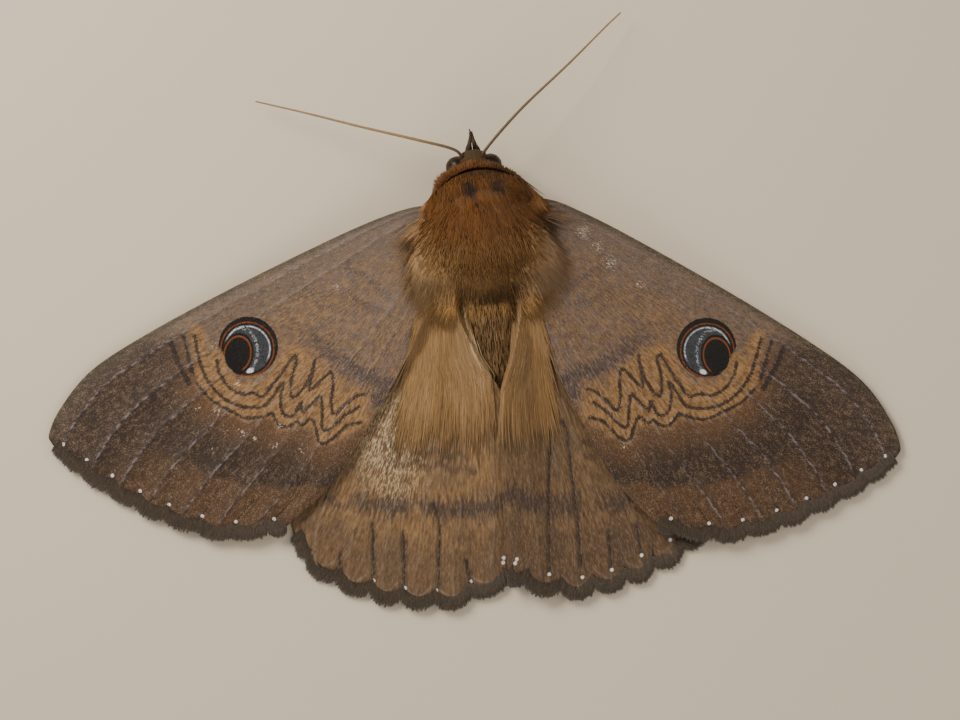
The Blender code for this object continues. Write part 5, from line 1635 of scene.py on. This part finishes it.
abdomen_paths = np.stack((
    np.sin(wander) * (half_width + lift) * tip_pull,
    ABDOMEN_START_Y + 1.5 - (ABDOMEN_LENGTH + 1.5) * start_t[:, None] - length * share,
    middle + np.cos(wander) * (half_width * flatten + lift) * tip_pull), axis=2)
abdomen_paths[..., 2] = np.maximum(abdomen_paths[..., 2], 0.06)
ceiling = hindwing_height(abdomen_paths[..., 0], abdomen_paths[..., 1], "left") - 0.42
covered = np.abs(abdomen_paths[..., 0]) > inner_margin_x("left", abdomen_paths[..., 1]) - 0.3
abdomen_paths[..., 2] = np.where(covered, np.minimum(abdomen_paths[..., 2], ceiling),
                                 abdomen_paths[..., 2])
radial = np.stack((np.sin(around), 0.0 * around, np.cos(around)), axis=1)[:, None]
abdomen_fur = tufts("abdomen_hair", abdomen_paths,
                    ABDOMEN_HAIR_WIDTH * abdomen_chance.uniform(0.7, 1.2, ABDOMEN_HAIRS), radial,
                    around_body(abdomen_paths[:, 0]), np.full(ABDOMEN_HAIRS, 0.8), abdomen_chance,
                    crest=FAN_CREST)
abdomen_fur.data.materials.append(hair_finish("abdomen_hair", 0.35))
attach(abdomen_fur, "root")

# The lower half of the thorax, the neck and the head are furry too: short hair that follows their
# round shape, leaning backwards on thorax and neck and forwards between the eyes.
CHEST_HAIRS = 3900
CHEST_HAIR_WIDTH = 0.15
NECK_HAIRS = 900
NECK_CENTRE = (0.0, 4.9, 4.3)
HEAD_HAIRS = 3600
HEAD_HAIR_WIDTH = 0.1


def lying_paths(centre, size, normals, flow, length, lift, stations):
    """Paths that creep over a ball from given places on it, the way that flow leads."""
    centre = np.asarray(centre, float)
    size = np.asarray(size, float)
    places = normals.copy()
    paths = []
    step = length / (stations - 1)
    for number in range(stations):
        outward = places / size
        outward /= np.linalg.norm(outward, axis=1)[:, None]
        rise = lift * math.sin(math.pi * min(number / (stations - 1), 0.75)) - (number == 0) * 0.1
        rise = np.broadcast_to(rise, (len(places),))
        paths.append(centre + places * size + outward * rise[:, None])
        slide = flow - outward * (flow * outward).sum(axis=1)[:, None]
        slide /= np.maximum(np.linalg.norm(slide, axis=1), 0.2)[:, None]
        places = places + slide * np.asarray(step)[:, None] / size
        places /= np.linalg.norm(places, axis=1)[:, None]
    return np.stack(paths, axis=1)


def ball_places(count, chance):
    """Even places all over a ball."""
    places = chance.normal(0.0, 1.0, (count, 3))
    return places / np.linalg.norm(places, axis=1)[:, None]


chest_chance = np.random.default_rng(71)
places = ball_places(CHEST_HAIRS * 2, chest_chance)
places = places[places[:, 2] < 0.12][:CHEST_HAIRS]
flow = np.array((0.0, -1.0, -0.15)) + chest_chance.normal(0.0, 0.12, (len(places), 3))
paths = lying_paths(THORAX_CENTRE, inset(THORAX_CORE), places, flow,
                    chest_chance.uniform(1.3, 2.3, len(places)), 0.35, 4)
paths[..., 2] = np.maximum(paths[..., 2], 0.15)
roof = sheet_height(paths[..., 0], paths[..., 1]) - 1.55
beside = np.hypot(paths[..., 0] / 4.9, (paths[..., 1] + 0.4) / 5.7) > 1.0
paths[..., 2] = np.where(beside, np.minimum(paths[..., 2], roof), paths[..., 2])
outward = (places / np.array(THORAX_CORE))[:, None]
neck_places = ball_places(NECK_HAIRS, chest_chance)
neck_flow = np.array((0.0, -1.0, -0.2)) + chest_chance.normal(0.0, 0.15, (NECK_HAIRS, 3))
neck = lying_paths(NECK_CENTRE, NECK_SIZE, neck_places, neck_flow,
                   chest_chance.uniform(0.9, 1.6, NECK_HAIRS), 0.3, 4)
paths = np.concatenate((paths, neck))
outward = np.concatenate((outward, (neck_places / np.array(NECK_SIZE))[:, None]))
chest = tufts("thorax_chest_hair", paths,
              CHEST_HAIR_WIDTH * chest_chance.uniform(0.7, 1.2, len(paths)), outward,
              around_body(paths[:, 0]), np.full(len(paths), 0.3), chest_chance)
chest.data.materials.append(thorax_coat)
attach(chest, "root")

EYE_RADIUS = 1.2
EYE_OFFSET = (1.65, 0.45, 0.15)


def eye_centre(sign):
    """Centre of an eye, on the side of the head."""
    return np.array((HEAD_CENTRE[0] + sign * EYE_OFFSET[0], HEAD_CENTRE[1] + EYE_OFFSET[1],
                     HEAD_CENTRE[2] + EYE_OFFSET[2]))


head_chance = np.random.default_rng(81)
places = ball_places(HEAD_HAIRS * 2, head_chance)
grown = np.array(HEAD_CENTRE) + places * np.array(inset(HEAD_SIZE))
free = (np.linalg.norm(grown - eye_centre(-1.0), axis=1) > EYE_RADIUS + 0.05)
free &= (np.linalg.norm(grown - eye_centre(1.0), axis=1) > EYE_RADIUS + 0.05)
places = places[free & (places[:, 1] > -0.55)][:HEAD_HAIRS]
flow = np.array((0.0, 1.0, 0.35)) + head_chance.normal(0.0, 0.25, (len(places), 3))
paths = lying_paths(HEAD_CENTRE, inset(HEAD_SIZE), places, flow,
                    head_chance.uniform(0.7, 1.25, len(places)), 0.32, 4)
head_fur = tufts("head_hair", paths,
                 HEAD_HAIR_WIDTH * head_chance.uniform(0.7, 1.2, len(paths)),
                 (places / np.array(HEAD_SIZE))[:, None], around_body(paths[:, 0]),
                 np.full(len(paths), 0.9), head_chance)
head_fur.data.materials.append(hair_finish("head_hair"))
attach(head_fur, "root")

# A fringe of hair-like scales edges each wing in three overlapping rows. It is dark olive-brown,
# with a little white tuft at most notches, and its ends are ragged.
FRINGE_ROWS = ((1.2, 0.05), (0.85, 0.2), (0.5, 0.3))
FRINGE_HAIRS = 1750
FRINGE_CLUMPS = 150
FRINGE_WIDTH = 0.1
WHITE_REACH = 0.42


def fringe_paths(rim, chance):
    """Paths of the fringe hairs along a wing's outer edge, row by row."""
    edge, outwards, bulge = rim
    line = edge + outwards * bulge[:, None]
    paths = []
    for inset_by, beyond in FRINGE_ROWS:
        place = np.sort(chance.uniform(0.008, 0.992, FRINGE_HAIRS)) * (len(edge) - 1)
        low = np.minimum(place.astype(int), len(edge) - 2)
        part = (place - low)[:, None]
        rim_point = line[low] * (1.0 - part) + line[low + 1] * part
        away = outwards[low] * (1.0 - part) + outwards[low + 1] * part
        clump = np.minimum((place / len(edge) * FRINGE_CLUMPS).astype(int), FRINGE_CLUMPS - 1)
        ragged = chance.uniform(-0.1, 0.22, FRINGE_CLUMPS)[clump]
        lean = chance.normal(0.0, 0.1, FRINGE_CLUMPS)[clump] + chance.normal(0.0, 0.05, FRINGE_HAIRS)
        run = np.stack((-away[:, 1], away[:, 0]), axis=1)
        reach = beyond + ragged + chance.uniform(-0.08, 0.08, FRINGE_HAIRS)
        root = rim_point - away * inset_by
        heading = away + run * lean[:, None]
        tip = rim_point + heading * reach[:, None]
        middle = (root + tip) / 2
        paths.append(np.stack((root, middle, tip), axis=1))
    return np.concatenate(paths)


def fringe_finish():
    """Dark olive-brown hair scales with paler ends, and white ones at the notches."""
    material, paint = new_finish("wing_fringe", Sheen_Weight=0.2)
    tuft = paint.read("tuft")
    colour = paint.blend(tuft.axis("X") * 0.7 + tuft.axis("Y") * 0.2, tone(0x2A2018),
                         tone(0x54442F))
    colour = paint.blend(tuft.axis("Z") * 0.9, colour, tone(0xDDDAD2))
    finish(material, paint, colour, 0.6)
    return material


fringe_coat = fringe_finish()
for wing_side, sign in (("left", -1.0), ("right", 1.0)):
    for wing_name, rims, slot_name in (("forewing", forewing_rims, "forewing_scales"),
                                       ("hindwing", hindwing_rims, "hindwing_scales")):
        fringe_chance = np.random.default_rng(91 + len(wing_name + wing_side) + int(sign))
        flat = fringe_paths(rims[wing_side], fringe_chance)
        roots = flat[:, 0]
        if wing_name == "forewing":
            spots = swept(MARGIN_DOTS, SWEEP_DEG[wing_side])
            own = unswept(roots, SWEEP_DEG[wing_side])
            unwrap = forewing_map(own[:, 0], own[:, 1])
            middle = sheet_height(sign * flat[..., 0], flat[..., 1])
        else:
            spots = np.array(HIND_DOTS[wing_side])
            unwrap = hindwing_map(roots[:, 0], roots[:, 1])
            middle = hindwing_height(sign * flat[..., 0], flat[..., 1], wing_side)
        layer = fringe_chance.uniform(0.0, 0.1, len(flat))
        rise = np.stack((0.16 + layer, 0.13 + layer, layer - 0.04), axis=1)
        paths = np.stack((sign * flat[..., 0], flat[..., 1], middle + rise), axis=2)
        white = (spot_distance(flat[:, 1], spots) < WHITE_REACH * 0.6)
        white = white * (fringe_chance.random(len(flat)) < 0.5)
        fringe = tufts(wing_name + "_fringe_" + wing_side, paths,
                       FRINGE_WIDTH * fringe_chance.uniform(0.7, 1.2, len(paths)),
                       UPWARD, unwrap, white.astype(float), fringe_chance)
        fringe.data.materials.append(fringe_coat)
        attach(fringe, "root")

# The eyes are dark brown domes of many small lenses. The right one is hidden by the collar in
# the photo, and mirrors the left one.
LENS_DEPTH = 0.022


def facetted_eye(name, centre):
    """A ball with a raised lens at each point of a coarser ball."""
    ball = bmesh.new()
    bmesh.ops.create_icosphere(ball, subdivisions=5, radius=1.0)
    points = np.array([vert.co[:] for vert in ball.verts])
    triangles = np.array([[vert.index for vert in face.verts] for face in ball.faces])
    ball.free()
    coarse = bmesh.new()
    bmesh.ops.create_icosphere(coarse, subdivisions=4, radius=1.0)
    lenses = len(coarse.verts)
    coarse.free()
    depth = np.where(np.arange(len(points)) < lenses, 0.0, LENS_DEPTH)
    points = centre + points * (EYE_RADIUS - 0.03 - depth)[:, None]
    eye = triangle_mesh(name, world(points), triangles)
    away = (points - centre) / EYE_RADIUS
    places = np.stack((0.25 + away[:, 1] * 0.2, 0.5 + away[:, 2] * 0.4), axis=1)
    places[:, 0] += np.where(away[:, 0] > 0.0, 0.5, 0.0)
    mark(eye, "place", away)
    bake_map(eye, places)
    return eye


def eye_finish():
    """Glossy dark brown with a faint paler mottling."""
    material, paint = new_finish("eye", Specular_IOR_Level=0.35)
    place = paint.read("place")
    mottle = place.noise((3.0, 3.0, 3.0), detail=3.0, flat=False)
    colour = paint.blend(mottle.rise(0.4, 0.7), tone(0x160904), tone(0x301608))
    finish(material, paint, colour, 0.38)
    return material


eye_coat = eye_finish()
for eye_side, sign in (("left", -1.0), ("right", 1.0)):
    eye = facetted_eye("eye_lenses_" + eye_side, eye_centre(sign))
    eye.data.materials.append(eye_coat)
    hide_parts("eye_" + eye_side)
    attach(eye, "root")

# The feelers are long threads of many short segments, brown at the root and straw-coloured
# towards the tip. Each sits in a socket between the eye and the tuft on the head.
ANTENNA_ROUTES = {
    "left": ((-1.15, 7.3, 5.0), (-1.9, 8.5, 5.7), (-5.45, 9.78, 5.6), (-10.95, 11.6, 4.6),
             (-16.15, 13.44, 3.2), (-21.4, 15.2, 1.8)),
    "right": ((0.75, 7.4, 5.0), (1.25, 8.4, 5.7), (4.97, 12.0, 5.6), (10.18, 16.25, 4.4),
              (14.04, 19.6, 2.9), (15.75, 21.0, 2.3)),
}
ANTENNA_RADIUS = 0.16
ANTENNA_TIP = 0.5
ANTENNA_SEGMENTS = 84


def limb(name, route, radii, around, cell):
    """A closed tube with a map whose cell is given by its corner and its two sides."""
    rings = round_tube(route, radii, around)
    points, triangles = tube_triangles(rings)
    piece = triangle_mesh(name, world(points), triangles)
    count = len(route)
    turn = np.abs(np.linspace(-1.0, 1.0, around, endpoint=False))
    across = np.concatenate((np.tile(turn, count), (0.5, 0.5)))
    along = np.concatenate((np.repeat(np.linspace(0.0, 1.0, count), around), (0.0, 1.0)))
    bake_map(piece, np.stack((cell[0] + cell[2] * across, cell[1] + cell[3] * along), axis=1))
    mark(piece, "limb", np.stack((across, along, 0.0 * along), axis=1))
    return piece


def antenna_finish(name, darkness):
    """Ringed with fine scales, brown at the root and straw-coloured from the middle on."""
    material, paint = new_finish(name)
    place = paint.read("limb")
    along = place.axis("Y")
    ring = paint.maths("FRACT", along * float(ANTENNA_SEGMENTS))
    grain = place.noise((14.0, 300.0, 0.0), detail=2.0)
    colour = paint.blend(along.rise(0.02, darkness), tone(0x382517), tone(0x8E7348))
    colour = paint.blend(ring.rise(0.72, 0.95) * 0.45, colour, tone(0x2C1E14))
    colour = paint.blend((grain - 0.4).most(0.0), colour, tone(0xC9B48C))
    finish(material, paint, colour, 0.5)
    return material


for antenna_side, darkness in (("left", 0.35), ("right", 0.95)):
    t = np.linspace(0.0, 1.0, ANTENNA_SEGMENTS * 4 + 1)
    route = smooth_curve(ANTENNA_ROUTES[antenna_side], t)
    ring = np.mod(t * ANTENNA_SEGMENTS, 1.0)
    radii = ANTENNA_RADIUS * (1.0 - ANTENNA_TIP * t ** 1.5) * (0.9 + 0.16 * ring)
    radii *= 1.0 + 0.5 * np.exp(-((t / 0.012) ** 2))
    radii[-1] = 0.03
    feeler = limb("antenna_thread_" + antenna_side, route, radii, 10, (0.02, 0.02, 0.4, 0.96))
    feeler.data.materials.append(antenna_finish("antenna_scales_" + antenna_side, darkness))
    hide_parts("antenna_" + antenna_side)
    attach(feeler, "root")

# The two palps rise in front of the face. They are scaled to near their fine bare points, which
# cross, and are rooted under the head.
PALP_ROUTES = {
    "left": ((-0.65, 7.0, 2.3), (-0.55, 8.3, 2.7), (-0.4, 9.1, 4.0), (-0.05, 10.25, 5.0)),
    "right": ((0.4, 7.0, 2.3), (0.3, 8.3, 2.6), (0.1, 9.0, 3.4), (-0.3, 10.55, 3.9)),
}
PALP_RADIUS = 0.34
PALP_SCALES = 1500


def limb_scales(name, route, radii, count, length, width, chance, last=1.0):
    """Scales that lie along a limb, pointing to its end."""
    run = np.gradient(route, axis=0)
    run /= np.linalg.norm(run, axis=1)[:, None]
    across = np.cross(run, (0.0, 0.0, 1.0))
    across /= np.maximum(np.linalg.norm(across, axis=1), 1e-6)[:, None]
    upward = np.cross(across, run)
    steps = np.concatenate(([0.0], np.cumsum(np.linalg.norm(np.diff(route, axis=0), axis=1))))
    start = chance.random(count) * last * steps[-1]
    reach = length * chance.uniform(0.7, 1.2, count)
    turn = chance.uniform(-math.pi, math.pi, count)
    paths = []
    for share, lift in ((0.0, -0.04), (0.5, 0.06), (1.0, 0.12)):
        place = np.minimum(start + reach * share, steps[-1])
        centre = np.stack([np.interp(place, steps, axis) for axis in route.T], axis=1)
        side = np.stack([np.interp(place, steps, axis) for axis in across.T], axis=1)
        top = np.stack([np.interp(place, steps, axis) for axis in upward.T], axis=1)
        radius = (np.interp(place, steps, radii) + lift)[:, None]
        away = side * np.sin(turn)[:, None] + top * np.cos(turn)[:, None]
        paths.append(centre + away * radius)
    paths = np.stack(paths, axis=1)
    paths[..., 2] = np.maximum(paths[..., 2], 0.03)
    places = np.stack((0.5 + 0.46 * turn / math.pi, 0.02 + 0.96 * start / steps[-1]), axis=1)
    return tufts(name, paths, width * chance.uniform(0.7, 1.2, count), away[:, None], places,
                 np.zeros(count), chance)


def limb_finish(name, dark, light):
    """Scaled limbs, darker at each scale's root."""
    material, paint = new_finish(name, Sheen_Weight=0.2)
    tuft = paint.read("tuft")
    along = tuft.axis("Y")
    colour = paint.blend((tuft.axis("X") * 0.8 + along * 0.2).least(1.0), tone(dark), tone(light))
    colour = paint.blend((1.0 - along) * 0.4, colour, tone(0x1A120C))
    finish(material, paint, colour, 0.6)
    return material


def bare_finish(name, colour_code):
    """Smooth brown skin of a limb under its scales."""
    material, paint = new_finish(name)
    place = paint.read("limb")
    grain = place.noise((9.0, 60.0, 0.0), detail=2.0)
    colour = paint.blend(grain * 0.5, tone(colour_code), tone(0x1A110C))
    finish(material, paint, colour, 0.45)
    return material


palp_skin = bare_finish("palp_skin", 0x3B2A1E)
palp_coat = limb_finish("palp_scales", 0x3A2A1D, 0x6E573F)
for palp_side in ("left", "right"):
    t = np.linspace(0.0, 1.0, 60)
    route = smooth_curve(PALP_ROUTES[palp_side], t)
    radii = PALP_RADIUS * (1.0 - 0.75 * ease(0.15, 0.75, t)) * (1.0 - 0.06 * np.cos(t * 2 * math.pi * 3))
    radii[-1] = 0.05
    palp = limb("palp_" + palp_side + "_limb", route, radii * 0.9, 14, (0.02, 0.02, 0.4, 0.96))
    palp.data.materials.append(palp_skin)
    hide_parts("palp_" + palp_side)
    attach(palp, "root")
    scales = limb_scales("palp_scales_" + palp_side, route, radii, PALP_SCALES, 0.42, 0.1,
                         np.random.default_rng(101 + len(palp_side)), last=0.82)
    scales.data.materials.append(palp_coat)
    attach(scales, "root")

# Six scaled legs are folded under the body. Each has a thick thigh, a shin with spurs, and a foot
# of five short segments that ends in two claws and rests on the table.
LEG_ROUTES = {
    "fore": ((1.4, 2.6, 2.6), (2.3, 3.7, 1.1), (4.3, 4.0, 1.9), (5.2, 2.6, 0.9), (5.7, 1.4, 0.25),
             (6.0, -0.8, 0.25)),
    "mid": ((1.8, 0.2, 2.4), (3.2, -0.3, 1.0), (6.6, -1.8, 2.0), (8.6, -4.3, 0.9),
            (9.3, -5.6, 0.25), (10.3, -8.3, 0.25)),
    "hind": ((1.7, -2.6, 2.4), (3.0, -3.9, 1.0), (5.4, -8.5, 1.7), (7.4, -13.6, 0.8),
             (8.0, -15.0, 0.25), (9.0, -18.4, 0.25)),
}
LEG_RADII = (0.55, 0.55, 0.38, 0.28, 0.24, 0.2)
STEPS_PER_JOINT = 12
LEG_SCALES = 1300
SPUR_PLACES = {"fore": (0.42,), "mid": (0.66,), "hind": (0.52, 0.7)}


def leg_line(pair, sign):
    """Centre line and radii of a leg, a little thinner at each of its joints."""
    route = np.array(LEG_ROUTES[pair]) * (sign, 1.0, 1.0)
    t = np.linspace(0.0, len(route) - 1.0, (len(route) - 1) * STEPS_PER_JOINT + 1)
    knots = np.arange(len(route))
    line = np.stack([np.interp(t, knots, axis) for axis in route.T], axis=1)
    for _ in range(2):
        line[1:-1] = (line[:-2] + line[2:] + 2.0 * line[1:-1]) / 4.0
    radii = np.interp(t, knots, LEG_RADII)
    part = np.mod(t, 1.0)
    radii *= 1.0 - 0.16 * np.exp(-((np.minimum(part, 1.0 - part) / 0.07) ** 2))
    segment = np.mod((t - 3.0) * 2.5, 1.0)
    radii *= np.where(t > 3.0, 0.88 + 0.16 * segment, 1.0)
    radii[-1] *= 0.6
    line[:, 2] = np.maximum(line[:, 2], radii + 0.004)
    return line, radii


def claw_and_spurs(pair, line):
    """Paths of a foot's two claws and of the shin's spurs."""
    paths = []
    forward = line[-1] - line[-4]
    forward /= np.linalg.norm(forward)
    aside = np.cross(forward, (0.0, 0.0, 1.0))
    for way in (-1.0, 1.0):
        start = line[-1] - forward * 0.1 + aside * way * 0.08
        paths.append((start, start + forward * 0.22 + aside * way * 0.1 + (0, 0, 0.05),
                      start + forward * 0.42 + aside * way * 0.16 + (0, 0, -0.06)))
    for place in SPUR_PLACES[pair]:
        index = int(place * (len(line) - 1))
        along = line[index + 2] - line[index - 2]
        along /= np.linalg.norm(along)
        beside = np.cross(along, (0.0, 0.0, 1.0))
        for way in (-1.0, 1.0):
            start = line[index] + beside * way * 0.2
            paths.append((start, start + along * 0.5 + beside * way * 0.22 - (0, 0, 0.05),
                          start + along * 1.0 + beside * way * 0.3 - (0, 0, 0.12)))
    paths = np.array(paths)
    paths[..., 2] = np.maximum(paths[..., 2], 0.04)
    return paths


leg_skin = bare_finish("leg_skin", 0x4A3626)
leg_coat = limb_finish("leg_scales", 0x57422D, 0x93795A)
claw_coat = bare_finish("claws", 0x24170F)
for leg_side, sign in (("left", -1.0), ("right", 1.0)):
    for number, pair in enumerate(("fore", "mid", "hind")):
        leg_chance = np.random.default_rng(120 + number + int(sign * 4))
        line, radii = leg_line(pair, sign)
        leg = limb("leg_%s_%s_limb" % (pair, leg_side), line, radii * 0.92, 12,
                   (0.02, 0.02, 0.4, 0.96))
        leg.data.materials.append(leg_skin)
        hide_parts("leg_%s_%s" % (pair, leg_side))
        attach(leg, "root")
        scales = limb_scales("leg_%s_%s_scales" % (pair, leg_side), line, radii, LEG_SCALES, 0.7,
                             0.13, leg_chance, last=0.97)
        scales.data.materials.append(leg_coat)
        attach(scales, "root")
        spikes = claw_and_spurs(pair, line)
        claws = tufts("leg_%s_%s_claws" % (pair, leg_side), spikes,
                      np.where(np.arange(len(spikes)) < 2, 0.1, 0.16), UPWARD,
                      np.stack((np.linspace(0.1, 0.9, len(spikes)),
                                np.full(len(spikes), 0.5)), axis=1),
                      np.zeros(len(spikes)), leg_chance)
        claws.data.materials.append(claw_coat)
        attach(claws, "root")
